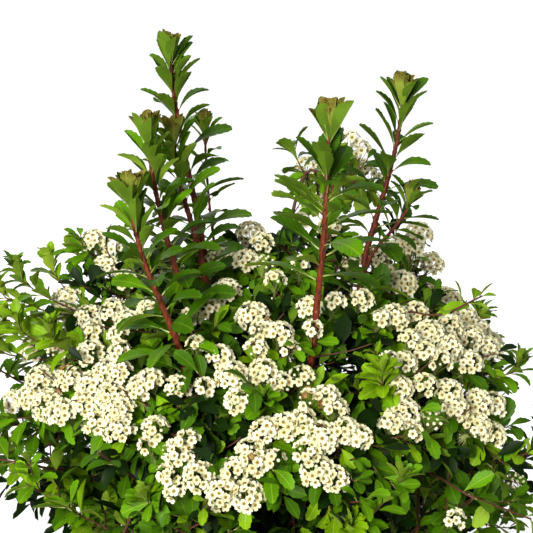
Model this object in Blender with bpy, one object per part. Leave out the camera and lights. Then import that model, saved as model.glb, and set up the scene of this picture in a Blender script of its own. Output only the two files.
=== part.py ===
"""Spirea shrub in flower: upright red shoots over a mound of arching canes, rooted in the ground.

Metres, +Z up, front towards -Y. The origin is the middle of the flat cut at ground level.
"""
import math
import random

import bmesh
import bpy
from mathutils import Matrix, Vector
from mathutils.bvhtree import BVHTree

# The mound of arching canes is part of an ellipsoid
MOUND_HALF_WIDTH = 0.235
MOUND_HALF_DEPTH = 0.205
MOUND_TOP = 0.365
MOUND_WAIST = 0.190

# Woody base that every cane grows from
STOOL_HEIGHT = 0.030
STOOL_GROUND_RADIUS = 0.036
STOOL_TOP_RADIUS = 0.0255
STOOL_SIDES = 18
STOOL_RINGS = 3
FOOT_SPACING = 0.0070
FOOT_LEAN = 0.022

# Wood: radii, and how many sides and lengths each piece has
SHOOT_RADII = (0.0031, 0.0022)
CANE_RADII = (0.0025, 0.0020)
SHOOT_STEM_RADII = (0.0020, 0.0011)
THIN_STEM_RADII = (0.0021, 0.0011)
SIDE_STEM_RADII = (0.0016, 0.0010)
SPRAY_STEM_RADII = (0.0019, 0.0014)
TWIG_RADII = (0.0012, 0.0009)
LIMB_SIDES = 6
LIMB_LENGTHS = 4
STEM_LENGTHS = 4
JOINT_GAP = 0.0003
FORK_SPACING = 0.0050
STEM_STRAIGHT = 0.005

# A limb runs up from its foot, and then bends towards its goal: each arm as a share of its reach
LIMB_LEAVE = 0.42
LIMB_ARRIVE = 0.36
CANE_SHARE = 0.66
CANE_LIFT = 0.012
SWERVES = (0, 0.01, -0.01, 0.02, -0.02, 0.03, -0.03, 0.04, -0.04)

# A body counts as closed if it still is with vertices this near to each other made one
NEAR_VERTICES = 0.0000003

# Flower clusters, each a dome on a stalk
CLUSTER_RADIUS = 0.0190
CLUSTER_HEIGHT = 0.013
CLUSTER_SIDES = 5
CLUSTER_DEPTH = 0.029
STALK_RADIUS = 0.0011
SMALL_CLUSTER = 0.75
DOME_TOP, DOME_RIM, DOME_NECK = 0.50 * CLUSTER_HEIGHT, -0.12 * CLUSTER_HEIGHT, -0.45 * CLUSTER_HEIGHT
FIRST_CLUSTER, LAST_CLUSTER = 0.45, 0.97

# Leaves, fewer and larger than life
LEAF_WIDTH_SHARE = 0.38
LEAF_THICKNESS_SHARE = 0.03
LEAF_WIDEST = 0.62
SHOOT_LEAF = 0.042
THIN_SHOOT_LEAF = 0.034
TUFT_LEAF = 0.030
SPRAY_LEAF = 0.036
SKIRT_LEAF = 0.042
SMALL_LEAF = 0.72
GOLDEN_ANGLE = math.radians(137.5)

# Leaves up a shoot: how they crowd towards the tip, how steeply they rise there, how much they shrink
CROWDING = 1.35
LOWEST_RISE = math.radians(36)
ADDED_RISE = math.radians(36)
SHRINKING = 0.36

# Room kept between one mass and the next, and between the leaves of one mass
CLEARANCE = 0.0012
OWN_CLEARANCE = 0.0004

UP = Vector((0, 0, 1))

# Upright shoots: where the bare red stem ends and the leaves begin, the tip, and how many leaves
SHOOTS = {
    "tall_west": ((-0.056, 0.000, 0.385), (-0.078, 0.000, 0.555), 18),
    "inner_west": ((-0.052, -0.042, 0.365), (-0.073, -0.040, 0.492), 14),
    "middle_west": ((-0.060, -0.082, 0.330), (-0.089, -0.085, 0.500), 16),
    "outer_west": ((-0.066, -0.118, 0.318), (-0.099, -0.125, 0.463), 14),
    "front_east": ((0.038, -0.112, 0.350), (0.045, -0.120, 0.515), 14),
    "tall_east": ((0.080, -0.045, 0.365), (0.108, -0.030, 0.524), 15),
}
# Thin shoots at the back: the tip, the bare share of the height, and how many leaves
THIN_SHOOTS = {
    "back_west": ((-0.054, 0.060, 0.480), 0.78, 10),
    "back_east": ((0.058, 0.030, 0.470), 0.76, 10),
}
# A side shoot that forks from the bare end of another shoot: name, that shoot, tip, leaves
SIDE_SHOOT = ("side_east", "tall_east", (0.114, -0.048, 0.436), 9)

# Flowering canes and the sprays that they carry. Clusters sit in rows over the mound from one place
# to another, half the given width to each side. A place is (degrees round from the front, degrees
# down from the top, height above the mound).
CANES = {
    "west_high": {
        "west_peak": ((-86, 31, 0.003), (-108, 42, 0.045), 0.006, 3),
        "west_shoulder": ((-45, 33, 0.0), (-100, 46, 0.0), 0.010, 4),
    },
    "west_low": {
        "west_upper": ((-40, 44, 0.0), (-92, 61, 0.0), 0.005, 4),
        "west_skirt": ((-38, 50, 0.0), (-70, 69, 0.0), 0.014, 6),
    },
    "south_west": {
        "front_slope": ((-15, 49, 0.0), (-38, 63, 0.0), 0.009, 5),
        "front_left": ((-23, 61, 0.0), (-4, 74, 0.0), 0.014, 6),
    },
    "south": {
        "front_middle": ((10, 53, 0.0), (-3, 66, 0.0), 0.006, 4),
        "front_right": ((20, 61, 0.0), (11, 72, 0.0), 0.014, 5),
    },
    "centre": {
        "centre_low": ((-10, 50, 0.0), (9, 48, 0.0), 0.013, 4),
        "centre_high": ((-28, 28, 0.0), (7, 41, 0.0), 0.012, 5),
    },
    "north": {
        "back_centre": ((-67, 9, 0.0), (-176, 17, 0.010), 0.008, 3),
        "back_tall": ((150, 16, 0.085), (121, 28, 0.098), 0.008, 4),
    },
    "centre_east": {
        "crown_east": ((149, 19, 0.014), (34, 28, 0.0), 0.014, 5),
        "east_upper": ((73, 26, 0.0), (55, 43, 0.0), 0.010, 4),
    },
    "east": {
        "east_peak": ((119, 29, 0.0), (108, 42, 0.040), 0.008, 4),
        "east_shoulder": ((60, 45, 0.0), (72, 56, 0.0), 0.016, 6),
    },
    "south_east": {
        "east_slope": ((37, 49, 0.0), (29, 62, 0.0), 0.012, 4),
        "east_skirt": ((43, 61, 0.0), (61, 72, 0.0), 0.012, 5),
    },
    "north_west": {
        "back_west_high": ((-138, 30, 0.0), (-158, 58, 0.0), 0.024, 6),
        "back_west_low": ((-106, 60, 0.0), (-138, 70, 0.0), 0.018, 5),
    },
    "north_east": {
        "back_east_high": ((162, 32, 0.0), (172, 62, 0.0), 0.024, 6),
        "back_east_low": ((104, 56, 0.0), (144, 62, 0.0), 0.022, 6),
    },
}

# Leafy tips that stand out of some of the sprays
LEAFY_TIPS = {
    "west_peak": [(-0.160, 0.020, 0.386)],
    "west_shoulder": [(-0.214, 0.005, 0.363), (-0.190, 0.035, 0.362)],
    "west_upper": [(-0.168, -0.100, 0.343), (-0.222, -0.022, 0.328)],
    "east_upper": [(0.183, 0.000, 0.323)],
    "east_shoulder": [(0.206, -0.055, 0.300)],
    "east_slope": [(0.086, -0.142, 0.322)],
    "front_right": [(0.097, -0.182, 0.256)],
    "front_left": [(-0.088, -0.182, 0.240)],
    "back_west_high": [(-0.120, 0.130, 0.335)],
    "back_east_high": [(0.020, 0.165, 0.335)],
    "back_east_low": [(0.205, 0.070, 0.275)],
}
LEAFY_TIP_LEAVES = 4

# Leafy canes under the flowers: the way each limb leans, and the two masses that it carries
SKIRT_LIMBS = {
    "low_south": (0, {"low_south_west": -34, "low_south_east": 34}),
    "low_east": (122, {"low_east": 92, "low_north_east": 150}),
    "low_west": (-122, {"low_west": -92, "low_north_west": -150}),
}
# Each mass's side twigs: degrees to one side of its stem, and degrees down from the top of the mound
SKIRT_TWIGS = ((-20, 84), (20, 82), (-19, 110), (20, 112), (0, 136))
SKIRT_TWIG_LEAVES = 3
SKIRT_LIMB_REACH = 0.40
SKIRT_LIMB_HEIGHT = 0.078

# Plain colours: linear red, green, blue, and roughness
COLOURS = {
    "stool": ((0.070, 0.035, 0.020), 0.85),
    "bark": ((0.115, 0.045, 0.025), 0.75),
    "red_bark": ((0.190, 0.035, 0.020), 0.60),
    "shoot_leaves": ((0.060, 0.170, 0.018), 0.50),
    "low_leaves": ((0.045, 0.130, 0.015), 0.50),
    "blossom": ((0.620, 0.640, 0.400), 0.65),
}


def clear_scene():
    for item in list(bpy.data.objects):
        bpy.data.objects.remove(item)


def material(name):
    made = bpy.data.materials.get(name)
    if made is None:
        colour, roughness = COLOURS[name]
        made = bpy.data.materials.new(name)
        made.use_nodes = True
        shader = made.node_tree.nodes["Principled BSDF"]
        shader.inputs["Base Color"].default_value = (*colour, 1)
        shader.inputs["Roughness"].default_value = roughness
        shader.inputs["Metallic"].default_value = 0.0
    return made


def make_object(name, shape, collection, finish=None):
    mesh = bpy.data.meshes.new(name)
    shape.to_mesh(mesh)
    shape.free()
    if finish:
        mesh.materials.append(material(finish))
    made = bpy.data.objects.new(name, mesh)
    collection.objects.link(made)
    return made


def mound_point(azimuth, fall, lift=0.0):
    turn, down = math.radians(azimuth), math.radians(fall)
    return Vector((
        MOUND_HALF_WIDTH * math.sin(down) * math.sin(turn),
        -MOUND_HALF_DEPTH * math.sin(down) * math.cos(turn),
        MOUND_WAIST + (MOUND_TOP - MOUND_WAIST) * math.cos(down) + lift,
    ))


def mound_normal(point, lift=0.0):
    return Vector((
        point.x / MOUND_HALF_WIDTH**2,
        point.y / MOUND_HALF_DEPTH**2,
        (point.z - lift - MOUND_WAIST) / (MOUND_TOP - MOUND_WAIST)**2,
    )).normalized()


def bezier(start, leave, arrive, end, lengths):
    """Points on a curve that leaves start along one arm and arrives at end along the other."""
    a, b, c, d = start, start + leave, end - arrive, end
    points = []
    for i in range(lengths + 1):
        t = i / lengths
        s = 1 - t
        points.append(a * s**3 + b * (3 * s * s * t) + c * (3 * s * t * t) + d * t**3)
    return points


def through(points, leave, lengths):
    """A smooth curve through the points, leaving the first along the given direction."""
    reach = (points[1] - points[0]).length
    line = [points[0] - leave.normalized() * reach, *points, points[-1] * 2 - points[-2]]
    made = [points[0]]
    for i in range(1, len(points)):
        p, q, r, s = line[i - 1:i + 3]
        for k in range(1, lengths + 1):
            t = k / lengths
            made.append((q * 2 + (r - p) * t + (p * 2 - q * 5 + r * 4 - s) * t**2
                         + (q * 3 - p - r * 3 + s) * t**3) / 2)
    return made


def along(path, share):
    """The point at this share of the path, and the path's direction there."""
    place = min(max(share, 0), 1) * (len(path) - 1)
    i = min(int(place), len(path) - 2)
    return path[i].lerp(path[i + 1], place - i), (path[i + 1] - path[i]).normalized()


def across(direction):
    side = direction.cross(UP)
    return side.normalized() if side.length > 1e-3 else Vector((1, 0, 0))


def frame_of(place, forward, upper):
    """Matrix that turns Z to forward and Y to the upper side, at a place."""
    forward = forward.normalized()
    side = upper.cross(forward)
    side = side.normalized() if side.length > 1e-3 else across(forward)
    turned = Matrix((side, forward.cross(side), forward)).transposed().to_4x4()
    return Matrix.Translation(place) @ turned


def bent_cone(path, radii, sides):
    """A closed cone, cut into lengths and laid along the path."""
    lengths = len(path) - 1
    shape = bmesh.new()
    bmesh.ops.create_cone(shape, cap_ends=True, segments=sides, radius1=1, radius2=1, depth=1,
                          matrix=Matrix.Translation((0, 0, 0.5)))
    for i in range(1, lengths):
        everything = [*shape.verts, *shape.edges, *shape.faces]
        bmesh.ops.bisect_plane(shape, geom=everything, plane_co=(0, 0, i / lengths), plane_no=UP)
    frames = []
    side = across(path[1] - path[0])
    for i, point in enumerate(path):
        direction = (path[min(i + 1, lengths)] - path[max(i - 1, 0)]).normalized()
        side = (side - direction * side.dot(direction)).normalized()
        frames.append((point, side, direction.cross(side)))
    for vert in shape.verts:
        i = round(vert.co.z * lengths)
        point, side, other = frames[i]
        radius = radii[0] + (radii[1] - radii[0]) * i / lengths
        vert.co = point + (side * vert.co.x + other * vert.co.y) * radius
    return shape


def leaf(root, forward, upper, length):
    """A thin blade of eight faces, pointed at both ends and widest past its middle."""
    shape = bmesh.new()
    bmesh.ops.create_uvsphere(shape, u_segments=4, v_segments=2, radius=1)
    width, thickness = length * LEAF_WIDTH_SHARE / 2, length * LEAF_THICKNESS_SHARE / 2
    for vert in shape.verts:
        height = LEAF_WIDEST if abs(vert.co.z) < 0.5 else (vert.co.z + 1) / 2
        vert.co = Vector((vert.co.x * width, vert.co.y * thickness, height * length))
    shape.transform(frame_of(root, forward, upper))
    return shape


def cluster(root, centre, facing, radius):
    """A shallow dome of blossom, drawn in below to a stalk that ends inside the stem at its root.

    Its rings are those of a sphere of four bands: the rim, the neck and the foot of the stalk.
    """
    shape = bmesh.new()
    bmesh.ops.create_uvsphere(shape, u_segments=CLUSTER_SIDES, v_segments=4, radius=1)
    dome = frame_of(centre, facing, across(facing))
    way = (centre + facing * DOME_NECK - root).normalized()
    for vert in shape.verts:
        ring = Vector((vert.co.x, vert.co.y, 0)).normalized()
        if vert.co.z > 0.9:
            vert.co = dome @ (UP * DOME_TOP)
        elif vert.co.z > 0.3:
            vert.co = dome @ (ring * radius + UP * DOME_RIM)
        elif vert.co.z > -0.3:
            vert.co = dome @ (ring * STALK_RADIUS + UP * DOME_NECK)
        elif vert.co.z > -0.9:
            out = dome.to_3x3() @ ring
            vert.co = root + (out - way * out.dot(way)).normalized() * STALK_RADIUS
        else:
            vert.co = root - way * STALK_RADIUS * 0.5
    return shape


def swollen_tree(shape, margin):
    """The shape grown by a margin, as a search tree with its lowest and highest corner."""
    grown = shape.copy()
    grown.normal_update()
    moves = [vert.normal * margin for vert in grown.verts]
    for vert, move in zip(grown.verts, moves):
        vert.co += move
    corners = [vert.co.copy() for vert in grown.verts]
    low = [min(corner[i] for corner in corners) for i in range(3)]
    high = [max(corner[i] for corner in corners) for i in range(3)]
    tree = BVHTree.FromBMesh(grown)
    grown.free()
    return tree, low, high


class Plant:
    """The pieces placed so far, by the node that owns them, so that each new one keeps clear."""

    def __init__(self):
        self.pieces = []

    def clear(self, shape, owner, margin=CLEARANCE, own_margin=None, carrier=None):
        """Whether the shape keeps its distance from other nodes, and from its own but the carrier."""
        others = swollen_tree(shape, margin)
        own = None if own_margin is None else swollen_tree(shape, own_margin)
        for key, node, tree, low, high in self.pieces:
            tested = own if node == owner else others
            if tested is None or key == carrier:
                continue
            mine, my_low, my_high = tested
            apart = any(my_low[i] > high[i] or my_high[i] < low[i] for i in range(3))
            if not apart and mine.overlap(tree):
                return False
        return True

    def place(self, shape, owner):
        key = len(self.pieces)
        self.pieces.append((key, owner, *swollen_tree(shape, 0)))
        return key


class Mass:
    """One mass of foliage: its stem, and the twigs, blossom and leaves that are fused to it."""

    def __init__(self, plant, name, path, radii, finish):
        self.plant, self.name, self.path, self.finish = plant, name, path, finish
        self.random = random.Random(name)
        self.shapes = []
        self.waiting_leaves = []
        stem = bent_cone(path, radii, 3)
        if not plant.clear(stem, name, JOINT_GAP / 3):
            raise ValueError(name + " has a stem that meets another piece")
        self.stem = self.keep(stem)

    def keep(self, shape):
        self.shapes.append(shape)
        return self.plant.place(shape, self.name)

    def plan_leaf(self, carrier, root, forward, upper, length):
        self.waiting_leaves.append((carrier, root, forward, upper, length))

    def add_leaf(self, carrier, root, forward, upper, length):
        for size in (1.0, SMALL_LEAF):
            blade = leaf(root, forward, upper, length * size)
            if self.plant.clear(blade, self.name, CLEARANCE, OWN_CLEARANCE, carrier):
                self.keep(blade)
                return

    def add_cluster(self, root, place, facing):
        for size in (1.0, SMALL_CLUSTER):
            lower = facing * CLUSTER_RADIUS * (1 - size)
            head = cluster(root, place - lower, facing, CLUSTER_RADIUS * size)
            if self.plant.clear(head, self.name):
                return self.keep(head)
        return None

    def jitter(self, amount):
        return Vector([self.random.uniform(-amount, amount) for _ in range(3)])

    def join(self, collection):
        """One union of everything in the mass, with fewer leaves if it doesn't come out closed."""
        while True:
            for solver in ("MANIFOLD", "EXACT"):
                for cut in ("BEAUTY", "EAR_CLIP"):
                    joined = union_of(self.name, self.shapes, solver)
                    if tidy_body(joined, cut):
                        joined.materials.append(material(self.finish))
                        made = bpy.data.objects.new(self.name, joined)
                        collection.objects.link(made)
                        return
            self.shapes.pop()


def union_of(name, shapes, solver):
    """The mesh of a Boolean union of the first shape with a collection of the others."""
    pieces = bpy.data.collections.new(name + "_pieces")
    bpy.context.scene.collection.children.link(pieces)
    for shape in shapes:
        bmesh.ops.triangulate(shape, faces=shape.faces)
    first, *rest = [make_object(f"{name}_{i}", shape.copy(), pieces) for i, shape in enumerate(shapes)]
    pieces.objects.unlink(first)
    bpy.context.scene.collection.objects.link(first)
    union = first.modifiers.new("Union", "BOOLEAN")
    union.operation = "UNION"
    union.operand_type = "COLLECTION"
    union.collection = pieces
    union.solver = solver
    bpy.context.view_layer.update()
    graph = bpy.context.evaluated_depsgraph_get()
    joined = bpy.data.meshes.new_from_object(first.evaluated_get(graph))
    for item in (first, *rest):
        bpy.data.objects.remove(item)
    bpy.data.collections.remove(pieces)
    return joined


def tidy_body(mesh, cut):
    """Keeps the largest body, in triangles. Says whether each edge then has its two faces."""
    shape = bmesh.new()
    shape.from_mesh(mesh)
    left, bodies = set(shape.verts), []
    while left:
        body, front = set(), [left.pop()]
        while front:
            vert = front.pop()
            body.add(vert)
            near = {edge.other_vert(vert) for edge in vert.link_edges} & left
            left -= near
            front.extend(near)
        bodies.append(body)
    bodies.sort(key=len)
    loose = [vert for body in bodies[:-1] for vert in body]
    bmesh.ops.delete(shape, geom=loose, context="VERTS")
    bmesh.ops.triangulate(shape, faces=shape.faces, ngon_method=cut)
    shape.to_mesh(mesh)
    bmesh.ops.remove_doubles(shape, verts=shape.verts, dist=NEAR_VERTICES)
    closed = all(len(edge.link_faces) == 2 for edge in shape.edges)
    shape.free()
    return closed


def make_stool(plant, collection):
    """The woody base: a flared and lightly fluted cone, flat at the ground."""
    path = [UP * (STOOL_HEIGHT * i / STOOL_RINGS) for i in range(STOOL_RINGS + 1)]
    shape = bent_cone(path, (1, 1), STOOL_SIDES)
    for vert in shape.verts:
        down = 1 - vert.co.z / STOOL_HEIGHT
        turn = math.atan2(vert.co.y, vert.co.x)
        radius = STOOL_TOP_RADIUS + (STOOL_GROUND_RADIUS - STOOL_TOP_RADIUS) * down**2
        radius *= 1 + 0.07 * down * math.cos(5 * turn + 0.6) + 0.02 * down * math.cos(3 * turn)
        vert.co.x, vert.co.y = radius * math.cos(turn), radius * math.sin(turn)
    plant.place(shape, "stool")
    make_object("stool", shape, collection, "stool")


def spray_place(row, share, side=0.0):
    """A place over the mound at this share of a spray's row, and the mound's normal there."""
    first, last, width, _ = row
    start, end = mound_point(*first), mound_point(*last)
    flat = start.lerp(end, share)
    normal = mound_normal(flat, first[2] + (last[2] - first[2]) * share)
    bulge = (end - start).length**2 / 2 * share * (1 - share) / MOUND_HALF_DEPTH
    return flat + normal * bulge + normal.cross(end - start).normalized() * width * side, normal


def under_spray(row, share):
    place, normal = spray_place(row, share)
    return place - normal * CLUSTER_DEPTH


def limb_goals():
    """Where each limb ends, and the way that it points there."""
    goals = {}
    for name, (bare_end, tip, _) in SHOOTS.items():
        goals[name] = (Vector(bare_end), Vector(tip) - Vector(bare_end))
    for name, sprays in CANES.items():
        middle = sum((under_spray(row, 0.1) for row in sprays.values()), Vector()) / len(sprays)
        goals[name] = (middle * CANE_SHARE + UP * CANE_LIFT, middle + UP * 0.02)
    for name, (azimuth, _) in SKIRT_LIMBS.items():
        out = mound_point(azimuth, 90) * SKIRT_LIMB_REACH
        end = Vector((out.x, out.y, SKIRT_LIMB_HEIGHT))
        goals[name] = (end, end)
    for name, (tip, _, _) in THIN_SHOOTS.items():
        goals[name] = (Vector(tip), UP)
    return goals


def spread_feet(goals):
    """Feet on the stool in the order of their limbs' slopes, eased apart until none is too near."""
    feet = {name: Vector((goal.x, goal.y, 0)) / goal.z * FOOT_LEAN for name, (goal, _) in goals.items()}
    names = list(feet)
    edge = STOOL_TOP_RADIUS - SHOOT_RADII[0]
    steps, growing = 400, 300  # the spacing grows to its full size before the last steps
    for step in range(steps):
        spacing = FOOT_SPACING * min(1, step / growing)
        for i, one in enumerate(names):
            for other in names[i + 1:]:
                gap = feet[one] - feet[other]
                if gap.length < spacing:
                    push = gap.normalized() * (spacing - gap.length) / 2
                    feet[one] += push
                    feet[other] -= push
        for name in names:
            if feet[name].length > edge:
                feet[name] = feet[name].normalized() * edge
    for name in names:
        feet[name].z = STOOL_HEIGHT + JOINT_GAP
    return feet


def limb_paths(foot, goal, way, lengths):
    """The straightest curve from foot to goal, and then ones that swerve more and more."""
    reach = (goal - foot).length
    side = across(goal - foot)
    for swerve in SWERVES:
        leave = UP * reach * LIMB_LEAVE + side * swerve
        arrive = way.normalized() * reach * LIMB_ARRIVE - side * swerve
        yield [foot, *bezier(foot + UP * STEM_STRAIGHT, leave, arrive, goal, lengths)]


def clear_path(plant, name, paths, radii, sides):
    """The first of the paths along which a limb meets nothing."""
    for path in paths:
        shape = bent_cone(path, radii, sides)
        found = plant.clear(shape, name, JOINT_GAP / 3)
        shape.free()
        if found:
            return path
    raise ValueError(name + " has no clear way to its end")


def make_limbs(plant, feet, goals, collection):
    """The bare lower part of every shoot and cane. Returns where each ends and the way it points."""
    ends = {}
    for name, (goal, way) in goals.items():
        if name in THIN_SHOOTS:
            continue
        upright = name in SHOOTS
        node = ("shoot_" if upright else "cane_") + name
        radii = SHOOT_RADII if upright else CANE_RADII
        paths = limb_paths(feet[name], goal, way, LIMB_LENGTHS)
        path = clear_path(plant, node, paths, radii, LIMB_SIDES)
        shape = bent_cone(path, radii, LIMB_SIDES)
        plant.place(shape, node)
        make_object(node, shape, collection, "red_bark" if upright else "bark")
        ends[name] = (path[-1], (path[-1] - path[-2]).normalized())
    return ends


def fork(end, way, goal, other_goal):
    """The start of one of two stems that leave a limb's end side by side, each on its goal's side."""
    apart = goal - other_goal
    apart -= way * apart.dot(way)
    return end + way * JOINT_GAP + apart.normalized() * FORK_SPACING / 2


def stem_from(start, way, leave_arm, arrive, goal):
    """A short straight piece along the limb's own direction, and then a curve to the goal."""
    bend = start + way * STEM_STRAIGHT
    return [start, *bezier(bend, way * leave_arm, arrive, goal, STEM_LENGTHS)]


def plan_spiral(mass, count, bare, length):
    """Leaves in a spiral up the stem, spreading below and drawn together in a tuft at the tip."""
    turn = mass.random.uniform(0, 2 * math.pi)
    for k in range(count):
        up = k / (count - 1)
        root, way = along(mass.path, bare + (0.99 - bare) * (1 - (1 - up)**CROWDING))
        turn += GOLDEN_ANGLE
        side = across(way)
        out = side * math.cos(turn) + way.cross(side) * math.sin(turn)
        rise = LOWEST_RISE + ADDED_RISE * up**2
        forward = out * math.cos(rise) + way * math.sin(rise)
        size = length * (1 - SHRINKING * up**2) * mass.random.uniform(0.9, 1.06)
        mass.plan_leaf(mass.stem, root, forward, way - out * 0.3, size)


def make_shoots(plant, feet, ends):
    masses = []
    side_name, parent, side_tip, side_count = SIDE_SHOOT
    side_goal = Vector(side_tip) - UP * 0.014
    for name, (_, tip, count) in SHOOTS.items():
        end, way = ends[name]
        goal = Vector(tip) - UP * 0.018
        start = fork(end, way, goal, side_goal) if name == parent else end + way * JOINT_GAP
        path = stem_from(start, way, 0.04, UP * 0.04, goal)
        masses.append(Mass(plant, "leaves_" + name, path, SHOOT_STEM_RADII, "shoot_leaves"))
        plan_spiral(masses[-1], count, 0.05, SHOOT_LEAF)
        if name == parent:
            path = stem_from(fork(end, way, side_goal, goal), way, 0.015, UP * 0.02, side_goal)
            masses.append(Mass(plant, "leaves_" + side_name, path, SIDE_STEM_RADII, "shoot_leaves"))
            plan_spiral(masses[-1], side_count, 0.4, THIN_SHOOT_LEAF)
    for name, (tip, bare, count) in THIN_SHOOTS.items():
        paths = limb_paths(feet[name], Vector(tip) - UP * 0.016, UP, LIMB_LENGTHS * 2)
        path = clear_path(plant, name, paths, THIN_STEM_RADII, 3)
        masses.append(Mass(plant, "leaves_" + name, path, THIN_STEM_RADII, "shoot_leaves"))
        plan_spiral(masses[-1], count, bare, THIN_SHOOT_LEAF)
    return masses


def make_sprays(plant, ends):
    """The flowering masses, with stems and clusters, and with their leaves planned."""
    sprays = []
    for cane, rows in CANES.items():
        end, way = ends[cane]
        starts = [under_spray(row, 0.0) for row in rows.values()]
        for i, (name, row) in enumerate(rows.items()):
            start = fork(end, way, starts[i], starts[1 - i])
            line = [start + way * STEM_STRAIGHT, *(under_spray(row, share) for share in (0, 0.5, 0.95))]
            path = [start, *through(line, way, 2)]
            mass = Mass(plant, "spray_" + name, path, SPRAY_STEM_RADII, "blossom")
            sprays.append((mass, row, LEAFY_TIPS.get(name, [])))
    for mass, _, tips in sprays:
        for tip in tips:
            add_leafy_tip(mass, Vector(tip))
    most = max(row[3] for _, row, _ in sprays)
    for k in range(most):
        for mass, row, _ in sprays:
            if k < row[3]:
                add_spray_cluster(mass, row, k)
    for mass, _, _ in sprays:
        root, way = along(mass.path, 0.30)
        for sign in (1, -1):
            forward = across(way) * sign + way * 0.6
            mass.plan_leaf(mass.stem, root + way * 0.004 * sign, forward, UP, SPRAY_LEAF)
        mass.plan_leaf(mass.stem, mass.path[-1] - way * 0.003, way + UP * 0.3, UP, SPRAY_LEAF)
    return [mass for mass, _, _ in sprays]


def add_spray_cluster(mass, row, k):
    """The cluster at one of the row's places, and on every other stalk a leaf."""
    share = (k + 0.5) / row[3]
    place, normal = spray_place(row, share, 1 if k % 2 else -1)
    place += mass.jitter(0.002)
    facing = (normal * 0.65 + UP * 0.45).normalized()
    root, _ = along(mass.path, FIRST_CLUSTER + share * (LAST_CLUSTER - FIRST_CLUSTER))
    key = mass.add_cluster(root, place, facing)
    if key is not None and k % 2 == 0:
        out = across(facing) * mass.random.choice((1, -1)) + mass.jitter(0.5)
        middle = root.lerp(place, 0.45)
        mass.plan_leaf(key, middle, out + facing * 0.6, facing - out * 0.3, SPRAY_LEAF)


def add_leafy_tip(mass, tip):
    """A twig from the nearest part of the stem out to a tuft of leaves at the tip."""
    share = min((i / 20 for i in range(8, 20)), key=lambda s: (along(mass.path, s)[0] - tip).length)
    root, way = along(mass.path, share)
    end = tip - UP * 0.020
    path = bezier(root, (way + UP) * 0.012, UP * 0.02, end, 2)
    twig = bent_cone(path, TWIG_RADII, 3)
    if not mass.plant.clear(twig, mass.name, JOINT_GAP):
        twig.free()
        return
    key = mass.keep(twig)
    for k in range(LEAFY_TIP_LEAVES):
        place, way = along(path, 0.55 + 0.43 * k / (LEAFY_TIP_LEAVES - 1))
        side = across(way)
        turn = k * GOLDEN_ANGLE
        out = side * math.cos(turn) + way.cross(side) * math.sin(turn)
        mass.plan_leaf(key, place, out * 0.8 + way * (0.5 + 0.25 * k), way - out * 0.3, TUFT_LEAF)


def make_skirts(plant, ends):
    """The leafy masses under the flowers, each a stem with side twigs that fan out and down."""
    masses = []
    for limb, (_, parts) in SKIRT_LIMBS.items():
        end, way = ends[limb]
        goals = [mound_point(azimuth, 94) for azimuth in parts.values()]
        for i, name in enumerate(parts):
            arrive = Vector((goals[i].x, goals[i].y, 0)) * 0.25
            path = stem_from(fork(end, way, goals[i], goals[1 - i]), way, 0.03, arrive, goals[i])
            masses.append(Mass(plant, "leaves_" + name, path, SPRAY_STEM_RADII, "low_leaves"))
    azimuths = [azimuth for _, parts in SKIRT_LIMBS.values() for azimuth in parts.values()]
    for k, (turn, fall) in enumerate(SKIRT_TWIGS):
        for mass, azimuth in zip(masses, azimuths):
            tip = mound_point(azimuth + turn, fall)
            root, way = along(mass.path, 0.32 if fall > 120 else 0.35 + 0.12 * k)
            path = bezier(root, way * 0.02, (tip - root) * 0.3 + UP * 0.01, tip, 2)
            twig = bent_cone(path, TWIG_RADII, 3)
            if not plant.clear(twig, mass.name):
                twig.free()
                continue
            key = mass.keep(twig)
            for i in range(SKIRT_TWIG_LEAVES):
                place, way = along(path, 0.42 + 0.28 * i)
                side = across(way) * (1 if i % 2 else -1)
                forward = side * (0.9 if i < SKIRT_TWIG_LEAVES - 1 else 0.2) + way * 0.7 + UP * 0.3
                mass.plan_leaf(key, place, forward, UP + mass.jitter(0.3), SKIRT_LEAF)
    return masses


def main():
    clear_scene()
    shrub = bpy.data.collections.new("spirea_shrub")
    bpy.context.scene.collection.children.link(shrub)
    plant = Plant()
    make_stool(plant, shrub)
    goals = limb_goals()
    feet = spread_feet(goals)
    ends = make_limbs(plant, feet, goals, shrub)
    masses = make_shoots(plant, feet, ends) + make_sprays(plant, ends) + make_skirts(plant, ends)
    for k in range(max(len(mass.waiting_leaves) for mass in masses)):
        for mass in masses:
            if k < len(mass.waiting_leaves):
                mass.add_leaf(*mass.waiting_leaves[k])
    for mass in masses:
        mass.join(shrub)


main()
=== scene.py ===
"""Looks of a spirea shrub in flower: bark, twigs, toothed leaves and flat heads of cream blossom.

Metres, +Z up, front towards -Y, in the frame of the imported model, whose origin is at ground level.
"""
import contextlib
import math
import random

import bpy
import numpy as np
from mathutils import Matrix, Vector, noise
from mathutils.kdtree import KDTree


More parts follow.
